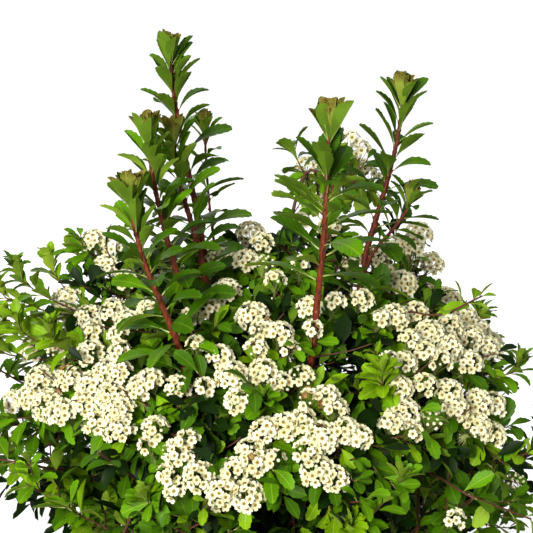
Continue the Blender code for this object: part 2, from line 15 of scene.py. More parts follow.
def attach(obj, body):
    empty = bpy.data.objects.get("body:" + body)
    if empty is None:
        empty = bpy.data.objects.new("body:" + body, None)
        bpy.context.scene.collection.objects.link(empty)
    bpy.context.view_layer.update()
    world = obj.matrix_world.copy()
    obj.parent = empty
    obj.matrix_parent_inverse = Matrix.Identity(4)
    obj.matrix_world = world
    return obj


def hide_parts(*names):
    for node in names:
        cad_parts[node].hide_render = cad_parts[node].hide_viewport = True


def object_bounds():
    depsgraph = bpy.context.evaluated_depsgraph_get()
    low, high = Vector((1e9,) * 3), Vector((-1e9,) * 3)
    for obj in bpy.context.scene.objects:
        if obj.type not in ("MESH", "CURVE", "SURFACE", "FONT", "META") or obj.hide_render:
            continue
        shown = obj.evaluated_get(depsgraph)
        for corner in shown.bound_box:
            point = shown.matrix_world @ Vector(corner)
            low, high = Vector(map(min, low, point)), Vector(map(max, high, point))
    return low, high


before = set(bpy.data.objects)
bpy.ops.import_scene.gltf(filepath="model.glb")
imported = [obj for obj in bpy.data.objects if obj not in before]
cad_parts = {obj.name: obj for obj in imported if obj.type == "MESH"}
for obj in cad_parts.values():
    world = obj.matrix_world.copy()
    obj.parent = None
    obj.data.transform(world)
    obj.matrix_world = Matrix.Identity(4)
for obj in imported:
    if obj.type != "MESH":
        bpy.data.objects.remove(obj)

cad_low, cad_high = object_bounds()

RANDOM_SEED = 11
UP = Vector((0, 0, 1))
SHARES = [i / 20 for i in range(21)]
GOLDEN_ANGLE = math.radians(137.5)
SHARP_ANGLE = math.radians(50)

# View: a long lens in front of the crown, looking a little down
VIEW_ELEVATION = math.radians(15)
VIEW_DISTANCE = 1.0
VIEW_TARGET = Vector((0, 0, 0.352))
VIEW_LENS = 79.4
SENSOR_WIDTH = 36
VIEW_PIXELS = 533
LENS_PIXELS = VIEW_LENS / SENSOR_WIDTH * VIEW_PIXELS
MIDDLE_PIXEL = VIEW_PIXELS / 2

# The mound of arching canes is part of an ellipsoid
MOUND_HALF_WIDTH = 0.235
MOUND_HALF_DEPTH = 0.205
MOUND_TOP = 0.365
MOUND_WAIST = 0.190

# Woody base, and where the limbs leave it
STOOL_HEIGHT = 0.030
STOOL_TOP_RADIUS = 0.0255
STOOL_GROUND_RADIUS = 0.036
FOOT_RADIUS = 0.0031
FOOT_SPACING = 0.0070
FOOT_LEAN = 0.022

# Limbs and stems, as in the solids
SHOOT_RADII = (0.0034, 0.0026)
CANE_RADII = (0.0025, 0.0020)
SHOOT_STEM_RADII = (0.0026, 0.0012)
THIN_STEM_RADII = (0.0021, 0.0009)
SEEN_TWIG_RADII = (0.0013, 0.0008)
SIDE_STEM_RADII = (0.0016, 0.0009)
SPRAY_STEM_RADII = (0.0019, 0.0008)
STALK_RADII = (0.0010, 0.0007)
TIP_TWIG_RADII = (0.0010, 0.0006)
TUFT_RADII = (0.0006, 0.0004)
SIDE_TWIG_RADII = (0.0008, 0.0005)
INNER_TWIG_RADII = (0.0007, 0.0005)
SKIRT_TWIG_RADII = (0.0012, 0.0006)
LIMB_LENGTHS = 4
LIMB_SMOOTHNESS = 5
STEM_LENGTHS = 12
JOINT_GAP = 0.0003
FORK_SPACING = 0.0050
STEM_STRAIGHT = 0.005
LIMB_LEAVE = 0.42
LIMB_ARRIVE = 0.36
CANE_SHARE = 0.66
CANE_LIFT = 0.012
CANE_AIM = 0.1
CANE_AIM_RISE = 0.02
THIN_TIP = 0.016
SWERVES = (0, 0.01, -0.01, 0.02, -0.02, 0.03, -0.03, 0.04, -0.04)
CLUSTER_DEPTH = 0.029

# Upright shoots: where the bare limb ends, the tip, how many leaves, how low down they begin and how
# high up they end, and how long they are
SHOOTS = {
    "tall_west": ((-0.056, 0.000, 0.385), (-0.078, 0.000, 0.555), 42, 0.60, 0.970, 0.046),
    "inner_west": ((-0.052, -0.042, 0.365), (-0.073, -0.040, 0.492), 34, 0.58, 0.965, 0.044),
    "middle_west": ((-0.060, -0.082, 0.330), (-0.089, -0.085, 0.500), 48, 0.56, 0.960, 0.046),
    "outer_west": ((-0.066, -0.118, 0.318), (-0.099, -0.125, 0.463), 44, 0.56, 0.955, 0.046),
    "front_east": ((0.038, -0.112, 0.350), (0.045, -0.120, 0.515), 24, 0.76, 0.940, 0.053),
    "tall_east": ((0.080, -0.045, 0.365), (0.108, -0.030, 0.524), 34, 0.60, 0.975, 0.046),
}
THIN_SHOOTS = {
    "back_west": ((-0.054, 0.060, 0.480), 0.70, 17),
    "back_east": ((0.058, 0.030, 0.470), 0.66, 20),
}
SIDE_SHOOT = ("tall_east", (0.114, -0.048, 0.436), 16)

# Flowering canes and their sprays: a row of flower heads goes over the mound from one place to
# another, half the given width to each side. A place is (degrees round from the front, degrees down
# from the top, height above the mound).
CANES = {
    "west_high": {
        "west_peak": ((-86, 31, 0.003), (-108, 42, 0.045), 0.006, 3),
        "west_shoulder": ((-45, 33, 0.0), (-100, 46, 0.0), 0.010, 4),
    },
    "west_low": {
        "west_upper": ((-40, 44, 0.0), (-92, 61, 0.0), 0.005, 4),
        "west_skirt": ((-38, 50, 0.0), (-70, 69, 0.0), 0.014, 6),
    },
    "south_west": {
        "front_slope": ((-15, 49, 0.0), (-38, 63, 0.0), 0.009, 5),
        "front_left": ((-23, 61, 0.0), (-4, 74, 0.0), 0.014, 6),
    },
    "south": {
        "front_middle": ((10, 53, 0.0), (-3, 66, 0.0), 0.006, 4),
        "front_right": ((20, 61, 0.0), (11, 72, 0.0), 0.014, 5),
    },
    "centre": {
        "centre_low": ((-10, 50, 0.0), (9, 48, 0.0), 0.013, 4),
        "centre_high": ((-28, 28, 0.0), (7, 41, 0.0), 0.012, 5),
    },
    "north": {
        "back_centre": ((-67, 9, 0.0), (-176, 17, 0.010), 0.008, 3),
        "back_tall": ((150, 16, 0.085), (121, 28, 0.098), 0.008, 4),
    },
    "centre_east": {
        "crown_east": ((149, 19, 0.014), (34, 28, 0.0), 0.014, 5),
        "east_upper": ((73, 26, 0.0), (55, 43, 0.0), 0.010, 4),
    },
    "east": {
        "east_peak": ((119, 29, 0.0), (108, 42, 0.040), 0.008, 4),
        "east_shoulder": ((60, 45, 0.0), (72, 56, 0.0), 0.016, 6),
    },
    "south_east": {
        "east_slope": ((37, 49, 0.0), (29, 62, 0.0), 0.012, 4),
        "east_skirt": ((43, 61, 0.0), (61, 72, 0.0), 0.012, 5),
    },
    "north_west": {
        "back_west_high": ((-138, 30, 0.0), (-158, 58, 0.0), 0.024, 6),
        "back_west_low": ((-106, 60, 0.0), (-138, 70, 0.0), 0.018, 5),
    },
    "north_east": {
        "back_east_high": ((162, 32, 0.0), (172, 62, 0.0), 0.024, 6),
        "back_east_low": ((104, 56, 0.0), (144, 62, 0.0), 0.022, 6),
    },
}

# Flower heads that show in the view, by the spray that carries them: how far each is from the left
# and from the top of the view, and half its width, all in pixels
SEEN_HEADS = {
    "west_peak": (
        (93, 240, 12), (112, 247, 12), (105, 265, 13), (124, 280, 12),
    ),
    "west_shoulder": (
        (66, 297, 16), (88, 316, 15), (112, 310, 14), (150, 308, 13), (127, 322, 13),
    ),
    "west_upper": (
        (92, 332, 12), (32, 350, 13), (58, 352, 10), (90, 352, 14), (120, 352, 12), (118, 336, 10),
    ),
    "west_skirt": (
        (40, 378, 17), (68, 378, 14), (14, 402, 14), (29, 396, 14), (46, 404, 17), (60, 412, 15),
        (90, 385, 15), (85, 402, 13), (105, 372, 14), (120, 372, 13),
    ),
    "front_slope": (
        (110, 395, 17), (140, 388, 13), (116, 410, 17), (118, 428, 16), (95, 423, 12), (150, 380, 13),
        (178, 388, 13), (205, 388, 10), (155, 428, 13), (148, 447, 8),
    ),
    "front_left": (
        (188, 440, 11), (178, 452, 16), (168, 475, 11), (197, 476, 16), (174, 492, 9), (222, 492, 18),
        (248, 495, 17), (235, 470, 13), (255, 460, 15),
    ),
    "front_middle": (
        (250, 450, 13), (265, 430, 15), (285, 425, 15), (303, 420, 12), (310, 400, 12), (326, 396, 12),
        (336, 409, 10), (275, 460, 9),
    ),
    "front_right": (
        (322, 435, 17), (345, 430, 14), (361, 438, 12), (308, 450, 15), (318, 470, 17), (336, 479, 13),
    ),
    "centre_low": (
        (220, 356, 13), (232, 374, 17), (238, 400, 14), (262, 370, 14), (281, 384, 12), (302, 377, 12),
        (290, 350, 9),
    ),
    "centre_high": (
        (226, 290, 15), (209, 309, 10), (252, 315, 17), (263, 330, 13), (256, 350, 12), (280, 333, 13),
        (190, 318, 11), (196, 346, 9),
    ),
    "back_centre": (
        (250, 232, 16), (262, 243, 12), (226, 252, 14), (246, 260, 13), (213, 262, 8), (264, 264, 11),
    ),
    "crown_east": (
        (300, 222, 10), (330, 226, 12), (350, 260, 12), (310, 308, 13), (335, 303, 10), (362, 300, 12),
        (312, 330, 10), (275, 281, 9), (300, 266, 8),
    ),
    "east_peak": (
        (375, 256, 11), (394, 247, 14), (412, 245, 13), (420, 232, 14), (431, 262, 14),
    ),
    "east_upper": (
        (385, 273, 9), (402, 281, 16), (395, 316, 15), (416, 312, 12), (380, 320, 8),
    ),
    "east_shoulder": (
        (430, 332, 15), (450, 326, 15), (466, 318, 14), (470, 336, 15), (486, 346, 14), (450, 346, 13),
        (470, 362, 14), (440, 360, 12), (494, 352, 8), (480, 330, 10),
    ),
    "east_slope": (
        (410, 340, 11), (425, 352, 12), (404, 362, 12), (389, 362, 9), (400, 388, 13), (425, 385, 13),
        (405, 412, 16), (392, 424, 12), (412, 432, 9), (432, 420, 12),
    ),
    "east_skirt": (
        (450, 392, 14), (456, 408, 14), (480, 402, 15), (494, 404, 12), (478, 425, 16), (493, 434, 13),
        (515, 482, 11), (455, 520, 9),
    ),
    "back_tall": (
        (352, 140, 7), (360, 150, 10), (307, 166, 10), (305, 180, 6), (363, 168, 10), (373, 176, 7),
        (346, 184, 6), (320, 197, 6),
    ),
}
HEADS_IN_BUD = {(264, 264), (432, 420), (515, 482)}
HEADS_FADING = {(68, 378), (310, 400), (336, 409)}

# Leafy tips that stand out of some of the sprays
LEAFY_TIPS = {
    "west_peak": [(-0.160, 0.020, 0.386)],
    "west_shoulder": [(-0.214, 0.005, 0.363), (-0.190, 0.035, 0.362), (-0.232, 0.010, 0.346)],
    "west_upper": [(-0.168, -0.100, 0.343), (-0.222, -0.022, 0.328), (-0.203, -0.050, 0.334),
                   (-0.234, -0.020, 0.308)],
    "east_upper": [(0.183, 0.000, 0.323)],
    "east_shoulder": [(0.206, -0.055, 0.300)],
    "east_slope": [(0.086, -0.142, 0.322)],
    "centre_low": [(-0.002, -0.172, 0.312)],
    "front_right": [(0.097, -0.182, 0.256), (0.060, -0.200, 0.225)],
    "front_left": [(-0.088, -0.182, 0.240)],
    "back_west_high": [(-0.120, 0.130, 0.335)],
    "back_east_high": [(0.020, 0.165, 0.335)],
    "back_east_low": [(0.205, 0.070, 0.275)],
}

# Long twigs that show in the view, by the part that carries them: points given by how far each is
# from the left and from the top of the view, in pixels, and from the eye, in metres
SEEN_TWIGS = {
    "low_south_east": [((422, 474, 0.95), (470, 496, 0.85), (531, 519, 0.87)),
                       ((335, 510, 0.90), (368, 500, 0.82))],
    "low_south_west": [((140, 488, 0.91), (98, 452, 0.83)), ((190, 528, 0.88), (208, 500, 0.81))],
    "low_west": [((64, 470, 0.98), (24, 464, 0.94), (-6, 458, 0.95)), ((60, 434, 1.00), (-4, 421, 0.94))],
    "low_east": [((480, 468, 0.98), (528, 453, 0.90))],
    "west_upper": [((34, 386, 1.00), (-4, 368, 0.95))],
    "east_slope": [((396, 316, 0.96), (440, 315, 0.88), (482, 296, 0.89))],
}

# Leafy canes under the flowers: the way each limb leans, and the two masses that it carries
SKIRT_LIMBS = {
    "low_south": (0, {"low_south_west": -34, "low_south_east": 34}),
    "low_east": (122, {"low_east": 92, "low_north_east": 150}),
    "low_west": (-122, {"low_west": -92, "low_north_west": -150}),
}
SKIRT_TWIGS = ((-20, 84), (20, 82), (-19, 110), (20, 112), (0, 136))
SKIRT_STEM_FALL = 94
SKIRT_TUCK = 0.87
SKIRT_TUCKS = {-92: 0.58, -34: 0.80}
SKIRT_LIMB_REACH = 0.40
SKIRT_LIMB_HEIGHT = 0.078

# Flowers, heads of flowers and leaves: their real sizes, and how they are set
FLOWER_RADIUS = 0.0039
PETAL_COUNT = 5
HEAD_RADII = (0.0125, 0.0170)
HEAD_SPREAD = math.radians(74)
FLOWER_ROOM = 0.0000300
LONGEST_STALK = 0.045
THIN_SHOOT_LEAF = 0.034
HEAD_LEAF = 0.022
TWIG_LEAF = 0.027
TIP_LEAF = 0.025
SKIRT_LEAF = 0.034
HEAD_CROWDING = 1.5
ROW_SIDES = (0.5, 1.3)
SEEN_HEAD_GROWTH = 0.93
HEAD_CLOSENESS = 0.82
HEAD_EASING_STEPS = 30
HEAD_RISE = 0.0065
HEAD_CLEARANCE = 0.030
HEAD_DEPTH = 0.008
HEAD_WIDTH_SHARE = 0.95
HEAD_OUTWARD, HEAD_UPWARD = 0.65, 0.45
HEAD_TILT = 0.14
SEEN_FACING = 0.75
OVER_HEAD_CHANCE = 0.05
OVERHANG = 0.010
SIGHT_CLEARANCE = 0.110
SIGHT_SHARE = 0.95
HEAD_NECK = 0.012
HEAD_LEAVES = 5
STALK_LEAVE, STALK_ARRIVE = 0.006, 0.010
STALK_LENGTHS = 4
STALK_LEAVES = 14
DOME_HEIGHTS = (0.95, 1.03)
UMBEL_DEPTH = 0.006
FLOWER_TILT = 0.16
BUD_ROOM = 0.45
BUD_SHARE = 0.6
FIRST_HEAD, LAST_HEAD = 0.45, 0.97
PEDICEL_RADIUS = 0.00035
TWIG_LEAF_STEP = 0.0050
BUD_CHANCE = 0.05
BUD_SIZES = (0.28, 0.36)
FLOWER_SIZES = (0.9, 1.1)
FLOWER_CUPPING = (0.8, 1.3)
WITHERED_SIZE, WITHERED_CLOSING = 0.8, 2.2
CREAM_SHARE = 0.6
WITHERED_CHANCE = 0.002
FADING_SHARE = 0.25

# Leaves in a spiral up shoots and twigs: closer and steeper towards the tip, and smaller there
CROWDING = 1.35
HIGHEST_LEAF = 0.98
TWIG_CROWDING = 1.4
LAST_TWIG_LEAF = 0.99
TWIG_OUTWARD = (0.9, 0.35)
TWIG_AHEAD, OVER_AHEAD = 0.6, 1.2
TWIG_UPWARD = 0.25
TWIG_SHRINKING = 0.66
TWIG_LEAF_SIZES = (0.75, 1.15)
LEAF_WIDTHS = (0.82, 1.12)
LEAF_TEST_SHARES = (0.5, 0.95)
LOWEST_RISE = math.radians(30)
ADDED_RISE = math.radians(42)
STEEP_FROM = 0.75
SHRINKING = 0.36
SHOOT_STEP = 0.0022
CANE_STEP = 0.0040
NODE_KINK = 0.0004
NODE_SWELLING = 1.22
SCAR_STEP = 0.013
ROSETTE_LEAVES = 19
ROSETTE_GREEN = 0.2
ROSETTE_RISE = 0.54
ROSETTE_SPREAD = (0.66, 0.10)
ROSETTE_SIZES = (0.66, 0.44)
ROSETTE_DEPTHS = (0.010, 0.001)
SHOOT_LEAF_SIZES = (0.86, 1.08)
SHOOT_BUD_SIZES = (0.0009, 0.0009, 0.0017)
SIDE_TWIG = (0.026, 0.048)
INNER_TWIG = (0.028, 0.048)
TWIG_ARM = 0.3
TWIG_LENGTHS = 3
TIP_LENGTHS = 6
TUFT_HEIGHT = 0.016
ROUND_LEAF_CHANCE = 0.6
SIDE_LEAF_SIZES = (0.75, 1.25)
OPEN_SPRAYS = {"back_tall"}
SPRAY_SIDE_TWIGS, OPEN_SIDE_TWIGS = 13, 7
SIDE_ROSETTE_DROP = 0.014
INNER_LEAF = 0.031
INNER_LEAVES = 9
STOOL_RINGS = 12
STOOL_SIDES = 48

# Shares of each leaf colour, dealt out by twig
LEAF_TONES = ("inner", "deep", "mid", "fresh", "bronze")
PETAL_TONES = ("cream", "ivory", "withered")
CROWN_TONES = {"deep": 4, "mid": 5, "fresh": 2}
# Inner twigs mostly take the near-black tone, which is painted shade, and now and then deep green
SHADE_AND_DEEP_TONES = {"inner": 4, "deep": 1}
LOW_TONES = {"deep": 3, "mid": 5, "fresh": 3}
TIP_TONES = {"mid": 2, "fresh": 3}
SHOOT_TONES = {"mid": 2, "deep": 3}


def mound_point(azimuth, fall, lift=0.0):
    turn, down = math.radians(azimuth), math.radians(fall)
    return Vector((
        MOUND_HALF_WIDTH * math.sin(down) * math.sin(turn),
        -MOUND_HALF_DEPTH * math.sin(down) * math.cos(turn),
        MOUND_WAIST + (MOUND_TOP - MOUND_WAIST) * math.cos(down) + lift,
    ))


def mound_normal(point, lift=0.0):
    return Vector((
        point.x / MOUND_HALF_WIDTH**2,
        point.y / MOUND_HALF_DEPTH**2,
        (point.z - lift - MOUND_WAIST) / (MOUND_TOP - MOUND_WAIST)**2,
    )).normalized()


def bezier(start, leave, arrive, end, lengths):
    """Points on a curve that leaves start along one arm and arrives at end along the other."""
    a, b, c, d = start, start + leave, end - arrive, end
    points = []
    for i in range(lengths + 1):
        t = i / lengths
        s = 1 - t
        points.append(a * s**3 + b * (3 * s * s * t) + c * (3 * s * t * t) + d * t**3)
    return points


def through(points, leave, lengths):
    """A smooth curve through the points, leaving the first along the given direction."""
    reach = (points[1] - points[0]).length
    line = [points[0] - leave.normalized() * reach, *points, points[-1] * 2 - points[-2]]
    made = [points[0]]
    for i in range(1, len(points)):
        p, q, r, s = line[i - 1:i + 3]
        for k in range(1, lengths + 1):
            t = k / lengths
            made.append((q * 2 + (r - p) * t + (p * 2 - q * 5 + r * 4 - s) * t**2
                         + (q * 3 - p - r * 3 + s) * t**3) / 2)
    return made


def along(path, share):
    """The point at this share of the path, and the path's direction there."""
    place = min(max(share, 0), 1) * (len(path) - 1)
    i = min(int(place), len(path) - 2)
    return path[i].lerp(path[i + 1], place - i), (path[i + 1] - path[i]).normalized()


def across(direction):
    side = direction.cross(UP)
    return side.normalized() if side.length > 1e-3 else Vector((1, 0, 0))


def around(axis, turn):
    """The direction square to the axis, this far round it."""
    side = across(axis)
    return side * math.cos(turn) + axis.cross(side) * math.sin(turn)


def blend(low, high, share):
    return low + (high - low) * share


def spray_place(row, share, side=0.0):
    """A place over the mound at this share of a spray's row, and the mound's normal there."""
    first, last, width, _ = row
    start, end = mound_point(*first), mound_point(*last)
    flat = start.lerp(end, share)
    normal = mound_normal(flat, first[2] + (last[2] - first[2]) * share)
    bulge = (end - start).length**2 / 2 * share * (1 - share) / MOUND_HALF_DEPTH
    return flat + normal * bulge + normal.cross(end - start).normalized() * width * side, normal


def under_spray(row, share):
    place, normal = spray_place(row, share)
    return place - normal * CLUSTER_DEPTH


def limb_goals():
    """Where each limb ends, and the way that it points there."""
    goals = {}
    for name, (bare_end, tip, *_) in SHOOTS.items():
        goals[name] = (Vector(bare_end), Vector(tip) - Vector(bare_end))
    for name, sprays in CANES.items():
        middle = sum((under_spray(row, CANE_AIM) for row in sprays.values()), Vector()) / len(sprays)
        goals[name] = (middle * CANE_SHARE + UP * CANE_LIFT, middle + UP * CANE_AIM_RISE)
    for name, (azimuth, _) in SKIRT_LIMBS.items():
        out = mound_point(azimuth, 90) * SKIRT_LIMB_REACH
        end = Vector((out.x, out.y, SKIRT_LIMB_HEIGHT))
        goals[name] = (end, end)
    for name, (tip, _, _) in THIN_SHOOTS.items():
        goals[name] = (Vector(tip), UP)
    return goals


def spread_feet(goals):
    """Feet on the stool in the order of their limbs' slopes, eased apart until none is too near."""
    feet = {name: Vector((goal.x, goal.y, 0)) / goal.z * FOOT_LEAN for name, (goal, _) in goals.items()}
    names = list(feet)
    edge = STOOL_TOP_RADIUS - FOOT_RADIUS
    steps, growing = 400, 300  # the spacing grows to its full size before the last steps
    for step in range(steps):
        spacing = FOOT_SPACING * min(1, step / growing)
        for i, one in enumerate(names):
            for other in names[i + 1:]:
                gap = feet[one] - feet[other]
                if gap.length < spacing:
                    push = gap.normalized() * (spacing - gap.length) / 2
                    feet[one] += push
                    feet[other] -= push
        for name in names:
            if feet[name].length > edge:
                feet[name] = feet[name].normalized() * edge
    for name in names:
        feet[name].z = STOOL_HEIGHT + JOINT_GAP
    return feet


def node_corners(node):
    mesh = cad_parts[node].data
    places = np.empty(len(mesh.vertices) * 3, np.float32)
    mesh.vertices.foreach_get("co", places)
    return places.reshape(-1, 3)


def limb_path(node, foot, goal, way, lengths):
    """The limb's curve from foot to goal, with the swerve that its solid has."""
    corners = node_corners(node)
    reach, side = (goal - foot).length, across(goal - foot)

    def curve(swerve, pieces):
        leave = UP * reach * LIMB_LEAVE + side * swerve
        arrive = way.normalized() * reach * LIMB_ARRIVE - side * swerve
        return [foot, *bezier(foot + UP * STEM_STRAIGHT, leave, arrive, goal, pieces)]

    def misfit(swerve):
        points = curve(swerve, lengths)
        return sum(np.linalg.norm(corners - np.array(point), axis=1).min() for point in points)

    swerve = min(SWERVES, key=misfit)
    coarse = curve(swerve, lengths)
    return curve(swerve, lengths * LIMB_SMOOTHNESS), (coarse[-1] - coarse[-2]).normalized()


def fork(end, way, goal, other_goal):
    """The start of one of two stems that leave a limb's end side by side, each on its goal's side."""
    apart = goal - other_goal
    apart -= way * apart.dot(way)
    return end + way * JOINT_GAP + apart.normalized() * FORK_SPACING / 2


def stem_from(start, way, leave_arm, arrive, goal):
    """A short straight piece along the limb's own direction, and then a curve to the goal."""
    bend = start + way * STEM_STRAIGHT
    return [start, *bezier(bend, way * leave_arm, arrive, goal, STEM_LENGTHS)]


def clear_selection():
    for item in bpy.context.selected_objects:
        item.select_set(False)


def modelled(add, **sizes):
    """A new primitive, alone in the selection, with its place in its mesh."""
    clear_selection()
    add(**sizes)
    bpy.ops.object.transform_apply()
    return bpy.context.object


@contextlib.contextmanager
def editing():
    """Edit mode, with all of the mesh selected at first."""
    bpy.ops.object.mode_set(mode="EDIT")
    bpy.ops.mesh.select_all(action="SELECT")
    yield
    bpy.ops.object.mode_set(mode="OBJECT")


def cut_rings(count):
    """Cuts a piece that is one unit high into this many equal lengths."""
    with editing():
        for ring in range(1, count):
            bpy.ops.mesh.select_all(action="SELECT")
            bpy.ops.mesh.bisect(plane_co=(0, 0, ring / count), plane_no=(0, 0, 1))


def repeated_round(times):
    """Copies the mesh round the Z axis until there are this many of it, at equal turns."""
    with editing():
        for _ in range(times - 1):
            bpy.ops.mesh.duplicate()
            bpy.ops.transform.rotate(value=2 * math.pi / times, orient_axis="Z", center_override=(0, 0, 0))


def read_numbers(items, field, width=1, kind=np.int32):
    found = np.empty(len(items) * width, kind)
    items.foreach_get(field, found)
    return found.reshape(-1, width) if width > 1 else found


class Template:
    """The corners, faces, map and finish numbers of a small shape that is copied many times."""

    def __init__(self, made):
        mesh = made.data
        self.corners = read_numbers(mesh.vertices, "co", 3, np.float32)
        self.loops = read_numbers(mesh.loops, "vertex_index")
        self.starts = read_numbers(mesh.polygons, "loop_start")
        self.finishes = read_numbers(mesh.polygons, "material_index")
        self.map = read_numbers(mesh.uv_layers[0].uv, "vector", 2, np.float32)
        bpy.data.objects.remove(made)


def joined_copies(name, copies, finishes):
    """One mesh with a copy of each template at each of its places."""
    corners, loops, starts, kinds, maps = [], [], [], [], []
    corner_count = loop_count = 0
    for template, places in copies:
        turns = np.array([[list(row) for row in place] for place in places], np.float32)
        count = len(turns)
        spots = np.einsum("nij,vj->nvi", turns[:, :3, :3], template.corners) + turns[:, None, :3, 3]
        corners.append(spots.reshape(-1, 3))
        steps = np.arange(count)[:, None]
        loops.append((template.loops + steps * len(template.corners) + corner_count).ravel())
        starts.append((template.starts + steps * len(template.loops) + loop_count).ravel())
        kinds.append(np.tile(template.finishes, count))
        maps.append(np.tile(template.map, (count, 1)))
        corner_count += count * len(template.corners)
        loop_count += count * len(template.loops)
    mesh = bpy.data.meshes.new(name)
    mesh.vertices.add(corner_count)
    mesh.loops.add(loop_count)
    mesh.polygons.add(sum(len(part) for part in starts))
    mesh.vertices.foreach_set("co", np.concatenate(corners).ravel())
    mesh.loops.foreach_set("vertex_index", np.concatenate(loops))
    mesh.polygons.foreach_set("loop_start", np.concatenate(starts))
    mesh.polygons.foreach_set("material_index", np.concatenate(kinds))
    mesh.update(calc_edges=True)
    mesh.uv_layers.new(name="shape_map").uv.foreach_set("vector", np.concatenate(maps).ravel())
    mesh.shade_smooth()
    mesh.set_sharp_from_angle(angle=SHARP_ANGLE)
    for finish in finishes:
        mesh.materials.append(finish)
    made = bpy.data.objects.new(name, mesh)
    bpy.context.scene.collection.objects.link(made)
    return made


# Outlines of a blade: shares of its length, with the share of its half width there
TOOTHED = ((0, 0.08), (0.14, 0.26), (0.31, 0.57), (0.47, 0.86), (0.60, 1.0), (0.63, 0.86), (0.76, 0.94),
           (0.78, 0.76), (0.90, 0.70), (0.92, 0.50), (0.985, 0.34), (1.0, 0))
NOTCHED = ((0, 0.08), (0.22, 0.40), (0.45, 0.84), (0.65, 1.0), (0.68, 0.84), (0.85, 0.80), (0.88, 0.58),
           (0.98, 0.36), (1.0, 0))
POINTED = ((0, 0.10), (0.28, 0.58), (0.60, 1.0), (0.80, 0.94), (0.83, 0.76), (0.94, 0.48), (1.0, 0))
PLAIN = ((0, 0.07), (0.25, 0.62), (0.52, 1.0), (0.80, 0.76), (1.0, 0))
PETIOLE = 0.10
BLADE_THICKNESS = 0.012
MERGE_DISTANCE = 0.0001
RIB_REACH = 0.86
RIB_TAPER = 0.8
RIB_THICKNESS = {2: 0.016, 3: 0.016, 5: 0.013}

# Leaves on shoots, near a shoot's tip, at the tip, on twigs, and inside the crown: outline, half width,
# lengths of the rib, and the arch, fold and twist of each form
LEAF_FORMS = {
    "long": (TOOTHED, 0.195, 5, ((0.40, 0.35, 0.25), (0.75, 0.22, -0.35), (1.10, 0.40, 0.15),
                                 (0.90, 0.18, 0.55))),
    "steep": (TOOTHED, 0.180, 5, ((0.20, 0.50, 0.25), (0.40, 0.35, -0.35), (0.60, 0.45, 0.15))),
    "young": (POINTED, 0.215, 2, ((-0.30, 0.55, 0.2), (-0.08, 0.65, -0.3), (0.25, 0.45, 0.3))),
    "round": (NOTCHED, 0.225, 2, ((0.30, 0.30, 0.2), (0.80, 0.18, -0.4), (1.2, 0.35, 0.3))),
    "plain": (PLAIN, 0.205, 3, ((0.35, 0.30, -0.2), (0.95, 0.20, 0.35))),
}


def arched(point, arch, twist):
    """A point of a flat leaf, once the leaf is bent down towards its tip and twisted."""
    x, y, z = point
    turn = twist * y
    x, z = x * math.cos(turn) + z * math.sin(turn), z * math.cos(turn) - x * math.sin(turn)
    bend = arch * y
    return Vector((
        x,
        math.sin(bend) / arch + z * math.sin(bend),
        (math.cos(bend) - 1) / arch + z * math.cos(bend),
    ))


def model_blade(outline, half_width, arch, fold, twist):
    """A leaf's blade, one unit from the foot of its stalk to its tip. Two sheets meet at the teeth."""
    rows = len(outline) - 1
    made = modelled(bpy.ops.mesh.primitive_grid_add, x_subdivisions=2, y_subdivisions=rows, size=1)
    with editing():
        bpy.ops.mesh.duplicate()
        bpy.ops.mesh.flip_normals()
    mesh = made.data
    below = set()
    for face in mesh.polygons:
        if face.normal.z < 0:
            face.material_index = 1
            below.update(face.vertices)
    for corner in mesh.vertices:
        row = round((corner.co.y + 0.5) * rows)
        share, width = outline[row]
        column = round(corner.co.x * 2)
        middle = column == 0 and 0 < row < rows
        corner.co = (column * width * half_width, PETIOLE + share * (1 - PETIOLE),
                     -BLADE_THICKNESS if middle and corner.index in below else 0)
    with editing():
        bpy.ops.mesh.remove_doubles(threshold=MERGE_DISTANCE)
    chart = mesh.uv_layers[0].uv
    for loop in mesh.loops:
        spot = mesh.vertices[loop.vertex_index].co
        chart[loop.index].vector = (0.5 + 0.5 * spot.x / half_width, spot.y)
    for corner in mesh.vertices:
        x, y, z = corner.co
        corner.co = arched((x, y, z + abs(x) * fold), arch, twist)
    return Template(made)


def model_rib(arch, twist, rings):
    """A leaf's stalk and midrib in one tapering rod, which shows on both faces of the blade."""
    made = modelled(bpy.ops.mesh.primitive_cylinder_add, vertices=3, radius=1, depth=1,
                    location=(0, 0, 0.5))
    cut_rings(rings)
    for corner in made.data.vertices:
        share = corner.co.z
        radius = RIB_THICKNESS[rings] * (1 - RIB_TAPER * share)
        spot = (corner.co.x * radius, share * RIB_REACH, corner.co.y * radius - BLADE_THICKNESS / 2)
        corner.co = arched(spot, arch, twist)
    with editing():
        bpy.ops.mesh.normals_make_consistent(inside=False)
    return Template(made)


class LeafForm:
    """One bend of a leaf: its blade, and its stalk and midrib."""

    def __init__(self, outline, half_width, rings, arch, fold, twist):
        self.blade = model_blade(outline, half_width, arch, fold, twist)
        self.rib = model_rib(arch, twist, rings)


def make_leaf_forms():
    """The forms of each kind of leaf."""
    made = {}
    for kind, (outline, half_width, rings, bends) in LEAF_FORMS.items():
        made[kind] = [LeafForm(outline, half_width, rings, *bend) for bend in bends]
    return made


def model_petals():
    """Five round cupped petals, a unit from the flower's middle to their rims."""
    made = modelled(bpy.ops.mesh.primitive_circle_add, vertices=7, radius=0.44, fill_type="TRIFAN",
                    location=(0, 0.60, 0))
    for corner in made.data.vertices:
        x, y, _ = corner.co
        out = math.hypot(x, y)
        narrow = 0.80 + 0.20 * min(1, max(0, (y - 0.12) / 0.45))
        hollow = -0.07 if abs(x) < 0.01 and 0.5 < y < 0.7 else 0
        notch = 0.05 if y > 0.95 else 0
        corner.co = (x * narrow, y - notch, 0.02 + 0.38 * out**2 + 0.30 * x * x + hollow)
    repeated_round(PETAL_COUNT)
    return Template(made)


